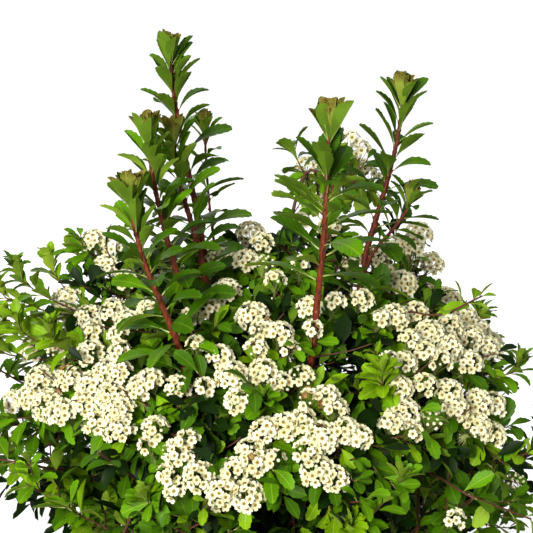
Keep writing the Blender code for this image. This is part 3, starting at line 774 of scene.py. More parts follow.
def model_disc():
    """The ringed middle of a flower, raised a little round an eye coloured dark brown: partly its own colour,
    partly painted shade.
    """
    made = modelled(bpy.ops.mesh.primitive_circle_add, vertices=6, radius=0.40, fill_type="NGON",
                    location=(0, 0, 0.13))
    with editing():
        bpy.ops.mesh.inset(thickness=0.17)
        bpy.ops.transform.translate(value=(0, 0, 0.04))
    for face in made.data.polygons:
        face.material_index = int(len(face.vertices) > 4)
    return Template(made)


def model_stamens():
    """A ring of fine pale stamens that lean out over the petals."""
    made = modelled(bpy.ops.mesh.primitive_circle_add, vertices=4, radius=0.13, fill_type="NGON",
                    location=(0, 0.38, 0))
    for corner in made.data.vertices:
        corner.co = (corner.co.x * 0.20, corner.co.y, 0.17 + 0.9 * (corner.co.y - 0.25))
    repeated_round(PETAL_COUNT)
    return Template(made)


def model_bud():
    """A closed flower bud, a little drawn out to its tip."""
    made = modelled(bpy.ops.mesh.primitive_uv_sphere_add, segments=7, ring_count=5, radius=1)
    for corner in made.data.vertices:
        if corner.co.z > 0.9:
            corner.co.z = 1.15
    return Template(made)


def model_stalk():
    """A thin flower stalk, one unit long, that widens under its flower."""
    made = modelled(bpy.ops.mesh.primitive_cone_add, vertices=3, radius1=0.7, radius2=1.2, depth=1,
                    location=(0, 0, 0.5))
    return Template(made)


def placed(root, forward, upper, sizes):
    """Matrix that lays a template's Y along forward and its Z on the upper side, scaled by axis."""
    forward = forward.normalized()
    side = forward.cross(upper)
    side = side.normalized() if side.length > 1e-4 else across(forward)
    width, length, height = sizes
    turned = Matrix((side * width, forward * length, side.cross(forward) * height)).transposed()
    return Matrix.Translation(root) @ turned.to_4x4()


def evenly(points, step):
    """The same line with its points at even steps."""
    spots = np.array(points)
    reached = np.concatenate(([0], np.cumsum(np.linalg.norm(np.diff(spots, axis=0), axis=1))))
    steps = np.linspace(0, reached[-1], max(2, round(reached[-1] / step)) + 1)
    return [Vector(spot) for spot in zip(*(np.interp(steps, reached, spots[:, i]) for i in range(3)))]


def tapering(path, low, high):
    return [blend(low, high, i / (len(path) - 1)) for i in range(len(path))]


def view_axes():
    """The view's place, its direction, and its upward direction."""
    back = Vector((0, -math.cos(VIEW_ELEVATION), math.sin(VIEW_ELEVATION)))
    return VIEW_TARGET + back * VIEW_DISTANCE, -back, Vector((1, 0, 0)).cross(-back)


def view_spot(point):
    """Pixels from the left and from the top of the view, and the distance ahead, of a point."""
    eye, ahead, above = view_axes()
    away = point - eye
    depth = away.dot(ahead)
    scale = LENS_PIXELS / depth
    return Vector((MIDDLE_PIXEL + away.x * scale, MIDDLE_PIXEL - away.dot(above) * scale, depth))


def view_point(x, y, depth):
    """The point at a pixel of the view, so far ahead of the eye."""
    eye, ahead, above = view_axes()
    pixel = depth / LENS_PIXELS
    aside = Vector(((x - MIDDLE_PIXEL) * pixel, 0, 0))
    return eye + ahead * depth + aside + above * (MIDDLE_PIXEL - y) * pixel


def seen_place(row, x, y):
    """Where the line of sight through a pixel of the view meets the mound, near this spray's row."""
    eye, ahead, above = view_axes()
    aside = Vector((x - MIDDLE_PIXEL, 0, 0))
    sight = (ahead * LENS_PIXELS + aside + above * (MIDDLE_PIXEL - y)).normalized()

    def miss(share):
        away = spray_place(row, share)[0] - eye
        return (away - sight * away.dot(sight)).length

    share = min(SHARES, key=miss)
    lift = blend(row[0][2], row[1][2], share)
    normal = spray_place(row, share)[1]
    shrink = Vector((1 / MOUND_HALF_WIDTH, 1 / MOUND_HALF_DEPTH, 1 / (MOUND_TOP - MOUND_WAIST)))
    from_middle = (eye - UP * (MOUND_WAIST + lift)) * shrink
    step = sight * shrink
    a, b, c = step.dot(step), from_middle.dot(step), from_middle.dot(from_middle) - 1
    half = math.sqrt(max(0, b * b - a * c))
    reach = (-b + half * (1 if normal.dot(sight) > 0 else -1)) / a
    place = eye + sight * reach
    return place, mound_normal(place, lift), share, reach / LENS_PIXELS


class Head:
    """A flat-domed head of flowers on its stalk."""

    def __init__(self, spray, share, place, normal, radius, kind="open", seen=False):
        self.spray, self.share, self.place, self.normal, self.radius = spray, share, place, normal, radius
        self.facing = normal
        self.kind = kind
        self.seen = seen

    def settle(self, tilt):
        """Fixes which way the head faces, and the globe whose cap its flowers lie on."""
        self.facing = (self.normal * HEAD_OUTWARD + UP * HEAD_UPWARD + tilt).normalized()
        if self.seen:
            towards = (view_axes()[0] - self.place).normalized()
            lack = max(0, SEEN_FACING - self.facing.dot(towards))
            self.facing = (self.facing + towards * lack).normalized()
        self.globe = self.radius / math.sin(HEAD_SPREAD)
        self.centre = self.place + self.facing * (HEAD_RISE - self.globe)

    def covers(self, point):
        """Whether the point is among the head's flowers, or stands in front of them."""
        away = point - self.place
        height = away.dot(self.facing)
        aside = (away - self.facing * height).length
        return -HEAD_DEPTH < height < HEAD_CLEARANCE and aside < self.radius * HEAD_WIDTH_SHARE


def within_reach(point):
    """Whether a leaf's tip stays by the outline of the solids."""
    return all(cad_low[i] - OVERHANG < point[i] < cad_high[i] + OVERHANG for i in range(3))


class Growth:
    """All that has grown: wood as paths with their radii, and a place for each copy of a template."""

    def __init__(self):
        self.random = random.Random(RANDOM_SEED)
        self.forms = make_leaf_forms()
        self.wood = {kind: [] for kind in ("canes", "shoots", "twigs", "stalks")}
        self.blades = {tone: [] for tone in LEAF_TONES}
        self.ribs = []
        self.petals = {tone: [] for tone in PETAL_TONES}
        self.flowers = []
        self.buds = []
        self.shoot_buds = []
        self.pedicels = []
        self.heads = []
        self.head_tree = None
        self.sight_tree = None

    def jitter(self, amount):
        return Vector([self.random.uniform(-amount, amount) for _ in range(3)])

    def tone(self, weights):
        return self.random.choices(list(weights), list(weights.values()))[0]

    def in_a_head(self, point):
        near = self.head_tree.find_n(point, 2)
        return any(self.heads[i].covers(point) for _, i, _ in near)

    def hides_a_head(self, point):
        """Whether the point stands close in front of a head that shows in the view."""
        spot = view_spot(point)
        near = self.sight_tree.find_n(Vector((spot.x, spot.y, 0)), 3)
        for _, i, away in near:
            head = self.heads[i]
            if 0 < head.spot.z - spot.z < SIGHT_CLEARANCE and away < head.half_width * SIGHT_SHARE:
                return True
        return False

    def leaf(self, kind, tone, root, forward, upper, length, over=False):
        """A leaf, unless it would lie among the flowers of a head or hide them from view."""
        forward = forward.normalized()
        if not within_reach(root + forward * length):
            return
        if kind == "plain" or kind == "round" and self.random.random() > OVER_HEAD_CHANCE:
            for share in LEAF_TEST_SHARES:
                point = root + forward * length * share
                if self.in_a_head(point) or not over and self.hides_a_head(point):
                    return
        form = self.random.choice(self.forms[kind])
        width = length * self.random.uniform(*LEAF_WIDTHS)
        place = placed(root, forward, upper, (width, length, length))
        self.blades[tone].append((form.blade, place))
        if kind != "plain":
            self.ribs.append((form.rib, place))

    def leafy_twig(self, path, radii, count, kind, tone, length, bare=0.25, over=False):
        """A twig with leaves in a spiral that turn their upper sides to the light."""
        self.wood["twigs"].append((path, tapering(path, *radii)))
        turn = self.random.uniform(0, 2 * math.pi)
        ahead = OVER_AHEAD if over else TWIG_AHEAD
        for k in range(count):
            share = 1 - (1 - k / max(1, count - 1))**TWIG_CROWDING
            root, way = along(path, blend(bare, LAST_TWIG_LEAF, share))
            turn += GOLDEN_ANGLE
            out = around(way, turn)
            forward = out * blend(*TWIG_OUTWARD, share**2) + way * ahead + UP * TWIG_UPWARD
            size = length * blend(1, TWIG_SHRINKING, share**2) * self.random.uniform(*TWIG_LEAF_SIZES)
            upper = UP + way * 0.4 - out * 0.3 + self.jitter(0.3)
            self.leaf(kind, tone, root, forward, upper, size, over)


def plan_heads(growth):
    """Heads as seen on the sprays in view, and in rows, eased apart over the mound, on the others."""
    chance = growth.random
    heads = growth.heads
    for rows in CANES.values():
        for name, row in rows.items():
            for x, y, half_width in SEEN_HEADS.get(name, []):
                place, normal, share, pixel = seen_place(row, x, y)
                spot = (x, y)
                kind = "bud" if spot in HEADS_IN_BUD else "fading" if spot in HEADS_FADING else "open"
                radius = half_width * pixel * SEEN_HEAD_GROWTH
                heads.append(Head(name, share, place, normal, radius, kind, True))
            if name in SEEN_HEADS:
                continue
            count = round(row[3] * HEAD_CROWDING)
            for k in range(count):
                share = (k + 0.5) / count
                side = chance.uniform(*ROW_SIDES) * (1 if k % 2 else -1)
                place, normal = spray_place(row, share, side)
                heads.append(Head(name, share, place, normal, chance.uniform(*HEAD_RADII)))
    for _ in range(HEAD_EASING_STEPS):
        for one in heads:
            if one.seen:
                continue
            for other in heads:
                gap = one.place - other.place
                lack = (one.radius + other.radius) * HEAD_CLOSENESS - gap.length
                if other is not one and lack > 0:
                    push = gap.normalized() * lack / 2
                    one.place += push - one.normal * push.dot(one.normal)
    growth.head_tree = KDTree(len(heads))
    growth.sight_tree = KDTree(len(heads))
    for i, head in enumerate(heads):
        head.settle(growth.jitter(HEAD_TILT))
        growth.head_tree.insert(head.place, i)
        head.spot = view_spot(head.place)
        head.half_width = head.radius * LENS_PIXELS / head.spot.z
        if head.seen:
            growth.sight_tree.insert(Vector((head.spot.x, head.spot.y, 0)), i)
    growth.head_tree.balance()
    growth.sight_tree.balance()


def grow_flower(growth, head, spot, facing, size):
    """One flower, or a bud where the head isn't open yet."""
    chance = growth.random
    across_flower = facing.cross(growth.jitter(1)).normalized()
    if head.kind == "bud" or chance.random() < BUD_CHANCE:
        room = size * chance.uniform(*BUD_SIZES)
        growth.buds.append(placed(spot, across_flower, facing, (room, room, room)))
        return
    withered = chance.random() < (FADING_SHARE if head.kind == "fading" else WITHERED_CHANCE)
    tone = "withered" if withered else "cream" if chance.random() < CREAM_SHARE else "ivory"
    size *= WITHERED_SIZE if withered else chance.uniform(*FLOWER_SIZES)
    height = size * (WITHERED_CLOSING if withered else chance.uniform(*FLOWER_CUPPING))
    place = placed(spot, across_flower, facing, (size, size, height))
    growth.petals[tone].append(place)
    growth.flowers.append(place)


def grow_head(growth, head, path):
    """A head of flowers, its stalk from the spray's stem, and the leaves on the stalk."""
    chance = growth.random
    root, way = along(path, FIRST_HEAD + head.share * (LAST_HEAD - FIRST_HEAD))
    neck = head.place - head.facing * HEAD_NECK
    stalk = bezier(root, way * STALK_LEAVE, head.facing * STALK_ARRIVE, neck, STALK_LENGTHS)
    if measured(stalk) > LONGEST_STALK:
        tone = growth.tone(CROWN_TONES)
        growth.leafy_twig(stalk, STALK_RADII, STALK_LEAVES, "round", tone, TWIG_LEAF, 0.1)
    else:
        growth.wood["stalks"].append((stalk, tapering(stalk, *STALK_RADII)))
    side = across(head.facing)
    cap = 1 - math.cos(HEAD_SPREAD)
    opening = BUD_SHARE if head.kind == "bud" else 1
    room = FLOWER_ROOM * (BUD_ROOM if head.kind == "bud" else 1)
    count = round(2 * math.pi * head.globe**2 * cap / room * opening)
    start = chance.uniform(0, 2 * math.pi)
    for k in range(count):
        lean = math.acos(1 - cap * (k + 0.5) / count)
        out = around(head.facing, start + k * GOLDEN_ANGLE)
        direction = head.facing * math.cos(lean) + out * math.sin(lean)
        spot = head.centre + direction * head.globe * chance.uniform(*DOME_HEIGHTS)
        foot = neck - head.facing * UMBEL_DEPTH * k / count
        stem = spot - foot
        sizes = (PEDICEL_RADIUS, stem.length, PEDICEL_RADIUS)
        growth.pedicels.append(placed(foot, stem, side, sizes))
        facing = (direction + growth.jitter(FLOWER_TILT)).normalized()
        grow_flower(growth, head, spot, facing, FLOWER_RADIUS)
    tone = growth.tone(CROWN_TONES)
    for k in range(HEAD_LEAVES):
        out = around(head.facing, start + (k + 0.5) * GOLDEN_ANGLE)
        place, _ = along(stalk, 0.25 + 0.65 * k / (HEAD_LEAVES - 1))
        forward = out + head.facing * chance.uniform(0.1, 0.6)
        upper = head.facing - out * 0.25 + growth.jitter(0.25)
        growth.leaf("round", tone, place, forward, upper, HEAD_LEAF * chance.uniform(0.85, 1.2))


def grow_side_twigs(growth, path, first, last, count, tones, upward):
    """Leafy side twigs along part of a stem, by turns to its left and right."""
    chance = growth.random
    for k in range(count):
        root, way = along(path, blend(first, last, (k + 0.5) / count))
        sign = 1 if k % 2 else -1
        reach = chance.uniform(*SIDE_TWIG)
        out = (across(way) * sign * 0.9 + way * 0.5 + UP * upward + growth.jitter(0.45)).normalized()
        twig = bezier(root, out * reach * TWIG_ARM, (out + UP * 0.5) * reach * TWIG_ARM,
                      root + out * reach, TWIG_LENGTHS)
        kind = "round" if chance.random() < ROUND_LEAF_CHANCE else "plain"
        leaves = max(4, round(reach / TWIG_LEAF_STEP))
        size = TWIG_LEAF * chance.uniform(*SIDE_LEAF_SIZES)
        growth.leafy_twig(twig, SIDE_TWIG_RADII, leaves, kind, growth.tone(tones), size)


def grow_inner_twigs(growth, path, first, last, count):
    """Twigs all round a stem that darken the inside of the crown with plain leaves: mostly near-black green,
    which is painted shade, and some deep green.
    """
    chance = growth.random
    for k in range(count):
        root, way = along(path, blend(first, last, (k + 0.5) / count))
        out = around(way, k * GOLDEN_ANGLE) + way * 0.4
        reach = chance.uniform(*INNER_TWIG)
        twig = bezier(root, out * reach * TWIG_ARM, (out + UP * 0.3) * reach * TWIG_ARM,
                      root + out * reach, TWIG_LENGTHS)
        tone = growth.tone(SHADE_AND_DEEP_TONES)
        growth.leafy_twig(twig, INNER_TWIG_RADII, INNER_LEAVES, "plain", tone, INNER_LEAF)


def nearest_share(path, point, shares):
    """The share of the path, among these, that comes nearest to the point."""
    return min(shares, key=lambda share: (along(path, share)[0] - point).length)


def grow_leafy_tip(growth, path, tip):
    """A twig from the nearest part of the stem out to a tuft of small leaves."""
    root, way = along(path, nearest_share(path, tip, SHARES[8:20]))
    end = tip - UP * TUFT_HEIGHT
    twig = bezier(root, (way + UP) * 0.012, UP * 0.02, end, TIP_LENGTHS)
    tone = growth.tone(TIP_TONES)
    growth.leafy_twig(twig, TIP_TWIG_RADII, 22, "round", tone, TIP_LEAF * 1.15, 0.2, over=True)
    tuft = [end, end + UP * 0.002, end + UP * 0.005]
    growth.leafy_twig(tuft, TUFT_RADII, 6, "round", tone, TIP_LEAF * 0.75, 0.1, over=True)


def grow_seen_twigs(growth, name, path):
    """Long bare twigs that show in the view, each from the nearest part of the stem to a leafy end."""
    for line in SEEN_TWIGS.get(name, []):
        line = [view_point(*spot) for spot in line]
        root, way = along(path, nearest_share(path, line[0], SHARES[3:20]))
        twig = through([root, *line], way, 4)
        growth.leafy_twig(twig, SEEN_TWIG_RADII, 9, "round", growth.tone(LOW_TONES), TWIG_LEAF, 0.55)


def grow_sprays(growth, limb, ends):
    """The sprays: a stem under each row of heads, and all that grows on it."""
    for cane, rows in CANES.items():
        end, way = ends[cane]
        starts = [under_spray(row, 0.0) for row in rows.values()]
        for i, (name, row) in enumerate(rows.items()):
            start = fork(end, way, starts[i], starts[1 - i])
            line = [start + way * STEM_STRAIGHT, *(under_spray(row, share) for share in (0, 0.5, 0.95))]
            path = [start - way * 0.004, start, *through(line, way, 6)]
            growth.wood["twigs"].append((path, tapering(path, *SPRAY_STEM_RADII)))
            for head in growth.heads:
                if head.spray == name:
                    grow_head(growth, head, path)
            open_crown = name in OPEN_SPRAYS
            count = OPEN_SIDE_TWIGS if open_crown else SPRAY_SIDE_TWIGS
            grow_side_twigs(growth, path, 0.15, 0.97, count, CROWN_TONES, 0.4)
            for tip in LEAFY_TIPS.get(name, []):
                grow_leafy_tip(growth, path, Vector(tip))
            grow_seen_twigs(growth, name, path)
            if not open_crown:
                grow_inner_twigs(growth, path, 0.1, 0.9, 10)
        grow_inner_twigs(growth, limb[cane], 0.35, 1.0, 16)


def grow_skirts(growth, ends):
    """The leafy parts under the flowers: each a stem, twigs that fan out and down, and side twigs."""
    for limb, (_, parts) in SKIRT_LIMBS.items():
        end, way = ends[limb]
        goals = [mound_point(azimuth, SKIRT_STEM_FALL) for azimuth in parts.values()]
        for i, (name, azimuth) in enumerate(parts.items()):
            arrive = Vector((goals[i].x, goals[i].y, 0)) * 0.25
            path = stem_from(fork(end, way, goals[i], goals[1 - i]), way, 0.03, arrive, goals[i])
            growth.wood["twigs"].append((path, tapering(path, *SPRAY_STEM_RADII)))
            grow_inner_twigs(growth, path, 0.05, 0.9, 12)
            grow_seen_twigs(growth, name, path)
            for k, (turn, fall) in enumerate(SKIRT_TWIGS):
                tip = mound_point(azimuth + turn, fall)
                if fall > 90:
                    tuck = SKIRT_TUCKS.get(azimuth, SKIRT_TUCK)
                    tip.x, tip.y = tip.x * tuck, tip.y * tuck
                root, way_there = along(path, 0.32 if fall > 120 else 0.35 + 0.12 * k)
                twig = bezier(root, way_there * 0.02, (tip - root) * 0.3 + UP * 0.01, tip, 8)
                tone = growth.tone(LOW_TONES)
                growth.leafy_twig(twig, SKIRT_TWIG_RADII, 12, "round", tone, SKIRT_LEAF, 0.3)
                grow_inner_twigs(growth, twig, 0.1, 0.5, 4)
                grow_side_twigs(growth, twig, 0.2, 0.97, 9, LOW_TONES, 0.3)


def grow_shoot(growth, path, lengths, radii, span, count, leaf_length, first_node=0.12):
    """An upright shoot: a stem that swells and turns a little at each leaf, and leaves in a spiral."""
    chance = growth.random
    bare, highest = span
    path = evenly(path, SHOOT_STEP)
    last = len(path) - 1
    thickness = [float(r) for r in np.interp(np.linspace(0, sum(lengths), last + 1),
                                             [0, lengths[0], sum(lengths)], radii)]
    turn = chance.uniform(0, 2 * math.pi)
    scars = int((bare - first_node) * sum(lengths) / SCAR_STEP)
    shares = [first_node + (bare - first_node) * k / max(1, scars) for k in range(scars)]
    shares += [bare + (highest - bare) * (1 - (1 - k / (count - 1))**CROWDING) for k in range(count)]
    tone = growth.tone(SHOOT_TONES)
    for k, share in enumerate(shares):
        node = round(share * last)
        way = (path[min(node + 1, last)] - path[max(node - 1, 0)]).normalized()
        turn += GOLDEN_ANGLE
        out = around(way, turn)
        path[node] = path[node] + out * NODE_KINK
        thickness[node] *= NODE_SWELLING
        root = path[node] + out * thickness[node] * 0.6
        if k < scars:
            growth.shoot_buds.append(placed(root, out.cross(way), way + out * 0.5, SHOOT_BUD_SIZES))
            continue
        up = (k - scars) / (count - 1)
        rise = LOWEST_RISE + ADDED_RISE * up**2
        forward = out * math.cos(rise) + way * math.sin(rise)
        size = leaf_length * (1 - SHRINKING * up**2) * chance.uniform(*SHOOT_LEAF_SIZES)
        leaf_tone = growth.tone({tone: 3, "mid": 1})
        kind = "steep" if up > STEEP_FROM else "long"
        growth.leaf(kind, leaf_tone, root, forward, way - out * 0.3 + growth.jitter(0.25), size)
    growth.wood["shoots"].append((path, thickness))
    tip, way = path[-1], (path[-1] - path[-2]).normalized()
    for k in range(ROSETTE_LEAVES):
        turn += GOLDEN_ANGLE
        out = around(way, turn)
        share = k / ROSETTE_LEAVES
        forward = way + out * blend(*ROSETTE_SPREAD, share)
        size = leaf_length * blend(*ROSETTE_SIZES, share) * chance.uniform(0.85, 1.1)
        root = tip - way * blend(*ROSETTE_DEPTHS, share)
        young_tone = "bronze" if share > ROSETTE_GREEN else tone
        growth.leaf("young", young_tone, root, forward, way * 0.3 - out + growth.jitter(0.2), size)


def measured(path):
    return sum((b - a).length for a, b in zip(path, path[1:]))


def grow_shoots(growth, limbs, ends):
    parent, side_tip, side_count = SIDE_SHOOT
    side_goal = Vector(side_tip) - UP * SIDE_ROSETTE_DROP
    for name, (_, tip, count, bare, highest, leaf_length) in SHOOTS.items():
        end, way = ends[name]
        goal = Vector(tip) - UP * leaf_length * ROSETTE_RISE
        start = fork(end, way, goal, side_goal) if name == parent else end + way * JOINT_GAP
        stem = stem_from(start, way, 0.04, UP * 0.04, goal)
        radii = (*SHOOT_RADII, SHOOT_STEM_RADII[1])
        lengths = (measured(limbs[name]), measured(stem))
        grow_shoot(growth, [*limbs[name], *stem[1:]], lengths, radii, (bare, highest), count, leaf_length)
        grow_inner_twigs(growth, limbs[name], 0.5, 0.9, 10)
    end, way = ends[parent]
    stem = stem_from(fork(end, way, side_goal, Vector(SHOOTS[parent][1])), way, 0.015, UP * 0.02, side_goal)
    stem.insert(0, end - way * 0.006)
    radii = (SIDE_STEM_RADII[0], *SIDE_STEM_RADII)
    span = (0.35, HIGHEST_LEAF)
    grow_shoot(growth, stem, (0.006, measured(stem) - 0.006), radii, span, side_count, THIN_SHOOT_LEAF, 0.1)
    for name, (tip, bare, count) in THIN_SHOOTS.items():
        lengths = (measured(limbs[name]) * 0.5,) * 2
        radii = (THIN_STEM_RADII[0], sum(THIN_STEM_RADII) / 2, THIN_STEM_RADII[1])
        grow_shoot(growth, limbs[name], lengths, radii, (bare, HIGHEST_LEAF), count, THIN_SHOOT_LEAF)


def grow_limbs(growth):
    """Curves of all limbs, and where each ends and the way it points."""
    goals = limb_goals()
    feet = spread_feet(goals)
    limbs, ends = {}, {}
    for name, (goal, way) in goals.items():
        if name in THIN_SHOOTS:
            node, goal, way, lengths = "leaves_" + name, goal - UP * THIN_TIP, UP, LIMB_LENGTHS * 2
        else:
            node, lengths = ("shoot_" if name in SHOOTS else "cane_") + name, LIMB_LENGTHS
        path, direction = limb_path(node, feet[name], goal, way, lengths)
        limbs[name] = path
        ends[name] = (path[-1], direction)
        if node.startswith("cane_"):
            fine = evenly(path, CANE_STEP)
            growth.wood["canes"].append((fine, tapering(fine, *CANE_RADII)))
    return limbs, ends


def tubes(name, runs, bevel, finish):
    """One mesh of capped tubes along the paths, each with its radius at every point."""
    curve = bpy.data.curves.new(name, "CURVE")
    curve.dimensions = "3D"
    curve.bevel_depth = 1
    curve.bevel_resolution = bevel
    curve.use_fill_caps = True
    for path, radii in runs:
        spline = curve.splines.new("POLY")
        spline.points.add(len(path) - 1)
        for point, place, radius in zip(spline.points, path, radii):
            point.co = (*place, 1)
            point.radius = radius
    holder = bpy.data.objects.new(name, curve)
    bpy.context.scene.collection.objects.link(holder)
    bpy.context.view_layer.update()
    graph = bpy.context.evaluated_depsgraph_get()
    mesh = bpy.data.meshes.new_from_object(holder.evaluated_get(graph))
    bpy.data.objects.remove(holder)
    mesh.shade_smooth()
    mesh.materials.clear()
    mesh.materials.append(finish)
    made = bpy.data.objects.new(name, mesh)
    bpy.context.scene.collection.objects.link(made)
    return made


def roughen(made, depth, grain):
    """Bark relief: ridges that run up the wood, with finer pits between them."""
    mesh = made.data
    moved = []
    for corner in mesh.vertices:
        spot = Vector((corner.co.x * grain, corner.co.y * grain, corner.co.z * grain * 0.22))
        height = noise.noise(spot) + 0.5 * noise.noise(spot * 2.7)
        moved.append(corner.co + corner.normal * depth * height)
    for corner, place in zip(mesh.vertices, moved):
        corner.co = place


def above_ground(made):
    for corner in made.data.vertices:
        corner.co.z = max(0, corner.co.z)


def make_stool(finish):
    """The woody base: flared and fluted, with cracked bark."""
    made = modelled(bpy.ops.mesh.primitive_cylinder_add, vertices=STOOL_SIDES, radius=1, depth=1,
                    end_fill_type="TRIFAN", location=(0, 0, 0.5))
    made.name = "woody_base"
    cut_rings(STOOL_RINGS)
    for corner in made.data.vertices:
        down = 1 - corner.co.z
        out = math.hypot(corner.co.x, corner.co.y)
        turn = math.atan2(corner.co.y, corner.co.x)
        radius = STOOL_TOP_RADIUS + (STOOL_GROUND_RADIUS - STOOL_TOP_RADIUS) * down**2
        radius *= 1 + 0.07 * down * math.cos(5 * turn + 0.6) + 0.02 * down * math.cos(3 * turn)
        ridge = noise.noise(Vector((math.cos(turn) * 5, math.sin(turn) * 5, down * 1.2)))
        radius *= 1 + 0.05 * ridge * min(1, 6 * down)
        corner.co = (out * radius * math.cos(turn), out * radius * math.sin(turn), STOOL_HEIGHT * (1 - down))
    made.data.shade_smooth()
    made.data.set_sharp_from_angle(angle=SHARP_ANGLE)
    made.data.materials.clear()
    made.data.materials.append(finish)
    return made


def linear(red, green, blue):
    """A display colour, each part from 0 to 255, as a shader colour."""
    shares = (part / 255 for part in (red, green, blue))
    return (*(s / 12.92 if s <= 0.04045 else ((s + 0.055) / 1.055) ** 2.4 for s in shares), 1)


class Graph:
    """Short names for adding linked shader nodes."""

    def __init__(self, tree):
        self.tree = tree

    def add(self, kind, settings=(), **inputs):
        """A new node. An input is given by its name, or by i and its number."""
        node = self.tree.nodes.new(kind)
        for field, value in dict(settings).items():
            setattr(node, field, value)
        for name, value in inputs.items():
            socket = node.inputs[int(name[1:]) if name[1:].isdigit() else name]
            if isinstance(value, bpy.types.NodeSocket):
                self.tree.links.new(value, socket)
            else:
                socket.default_value = value
        return node

    def math(self, operation, one, two=0.0):
        return self.add("ShaderNodeMath", {"operation": operation}, i0=one, i1=two).outputs[0]

    def mixed(self, share, low, high):
        node = self.add("ShaderNodeMix", {"data_type": "RGBA"}, i0=share, i6=low, i7=high)
        return node.outputs[2]

    def steps(self, value, low, high):
        """Eases the value from 0 at low to 1 at high."""
        node = self.add("ShaderNodeMapRange", {"interpolation_type": "SMOOTHSTEP"}, i0=value, i1=low, i2=high)
        return node.outputs[0]


def new_group(name, inputs, output):
    """An empty node group with colour inputs and one colour output."""
    tree = bpy.data.node_groups.new(name, "ShaderNodeTree")
    for socket in inputs:
        tree.interface.new_socket(name=socket, in_out="INPUT", socket_type="NodeSocketColor")
    tree.interface.new_socket(name=output, in_out="OUTPUT", socket_type="NodeSocketColor")
    graph = Graph(tree)
    return graph, graph.add("NodeGroupInput").outputs, graph.add("NodeGroupOutput").inputs


VEIN_STEEPNESS = (52, 34)


def make_leaf_group():
    """Leaf colour with paler veins that slant to the teeth, and an uneven tone from place to place."""
    graph, given, asked = new_group("leaf_colour", ("Blade", "Veins", "Tip"), "Colour")
    places = graph.add("ShaderNodeTexCoord")
    spot = graph.add("ShaderNodeSeparateXYZ", i0=places.outputs["UV"]).outputs
    aside = graph.math("ABSOLUTE", graph.math("SUBTRACT", spot[0], 0.5))
    upward = graph.math("MULTIPLY", spot[1], VEIN_STEEPNESS[0])
    slant = graph.math("SUBTRACT", upward, graph.math("MULTIPLY", aside, VEIN_STEEPNESS[1]))
    side_veins = graph.steps(graph.math("SINE", slant), 0.80, 1.0)
    midrib = graph.steps(aside, 0.05, 0.01)
    side_veins = graph.math("MULTIPLY", side_veins, 0.35)
    veins = graph.math("MAXIMUM", side_veins, graph.math("MULTIPLY", midrib, 0.6))
    grain = graph.add("ShaderNodeTexNoise", Vector=places.outputs["Object"], Scale=55.0, Detail=2.0)
    tone = graph.math("MULTIPLY", graph.steps(grain.outputs[0], 0.35, 0.65), 0.30)
    blade = graph.mixed(graph.steps(spot[1], 0.66, 0.96), given["Blade"], given["Tip"])
    blade = graph.mixed(tone, blade, (0.0, 0.0, 0.0, 1))
    graph.tree.links.new(graph.mixed(veins, blade, given["Veins"]), asked["Colour"])
    return graph.tree


def make_bark_group():
    """Bark colour with streaks that run up the wood."""
    graph, given, asked = new_group("bark_colour", ("Ridges", "Cracks"), "Colour")
    places = graph.add("ShaderNodeTexCoord")
    stretched = graph.add("ShaderNodeMapping", Vector=places.outputs["Object"], Scale=(900, 900, 130))
    grain = graph.add("ShaderNodeTexNoise", Vector=stretched.outputs[0], Scale=1.0, Detail=3.0)
    share = graph.steps(grain.outputs[0], 0.40, 0.62)
    graph.tree.links.new(graph.mixed(share, given["Ridges"], given["Cracks"]), asked["Colour"])
    return graph.tree


def finish_of(name, colour, roughness, group=None, others=(), specular=0.5):
    """A material with one plain display colour, or with several that a shared group lays out."""
    made = bpy.data.materials.new(name)
    made.use_nodes = True
    graph = Graph(made.node_tree)
    surface = made.node_tree.nodes["Principled BSDF"]
    surface.inputs["Base Color"].default_value = linear(*colour)
    surface.inputs["Roughness"].default_value = roughness
    surface.inputs["Specular IOR Level"].default_value = specular
    if group:
        laid = graph.add("ShaderNodeGroup", {"node_tree": group}, i0=linear(*colour))
        for i, other in enumerate(others, 1):
            laid.inputs[i].default_value = linear(*other)
        made.node_tree.links.new(laid.outputs[0], surface.inputs["Base Color"])
    return made


# Upper side, underside and veins of each leaf tone
LEAF_COLOURS = {
    # The darkest tone, near black, is painted shade for leaves deep inside the crown; the others are the
    # leaves' own greens
    "inner": ((15, 37, 2), (28, 52, 5), (24, 48, 5)),
    "deep": ((58, 100, 2), (96, 128, 32), (94, 128, 20)),
    "mid": ((88, 140, 2), (130, 162, 46), (136, 168, 42)),
    "fresh": ((118, 162, 4), (146, 176, 48), (160, 188, 52)),
    "bronze": ((112, 130, 24), (134, 150, 54), (156, 160, 70)),
}
YOUNG_TIP = (106, 92, 32)
PETAL_COLOURS = {"cream": (239, 236, 204), "ivory": (227, 223, 181), "withered": (136, 98, 52)}

# Depth and grain of the relief of each kind of bark
STOOL_RELIEF = (0.0009, 320)
CANE_RELIEF = (0.00022, 700)
SHOOT_RELIEF = (0.00014, 800)


def make_wood(growth):
    bark = make_bark_group()
    wood = growth.wood
    base = make_stool(finish_of("base_bark", (104, 84, 66), 0.85, bark, [(48, 38, 30)], 0.2))
    cane_bark = finish_of("cane_bark", (96, 70, 50), 0.75, bark, [(54, 38, 28)], 0.3)
    canes = tubes("canes", wood["canes"], 2, cane_bark)
    red_bark = finish_of("red_bark", (122, 52, 24), 0.55, bark, [(78, 28, 13)], 0.3)
    shoots = tubes("red_shoots", wood["shoots"], 3, red_bark)
    twigs = tubes("twigs", wood["twigs"], 0, finish_of("twig_bark", (92, 56, 40), 0.65, specular=0.3))
    stalks = tubes("flower_stalks", wood["stalks"], 0, finish_of("stalk_green", (128, 140, 66), 0.55))
    roughen(base, *STOOL_RELIEF)
    above_ground(base)
    roughen(canes, *CANE_RELIEF)
    roughen(shoots, *SHOOT_RELIEF)
    return base, canes, shoots, twigs, stalks


def grouped(pairs):
    """Places by template, from pairs of a template and a place."""
    found = {}
    for template, place in pairs:
        found.setdefault(template, []).append(place)
    return list(found.items())


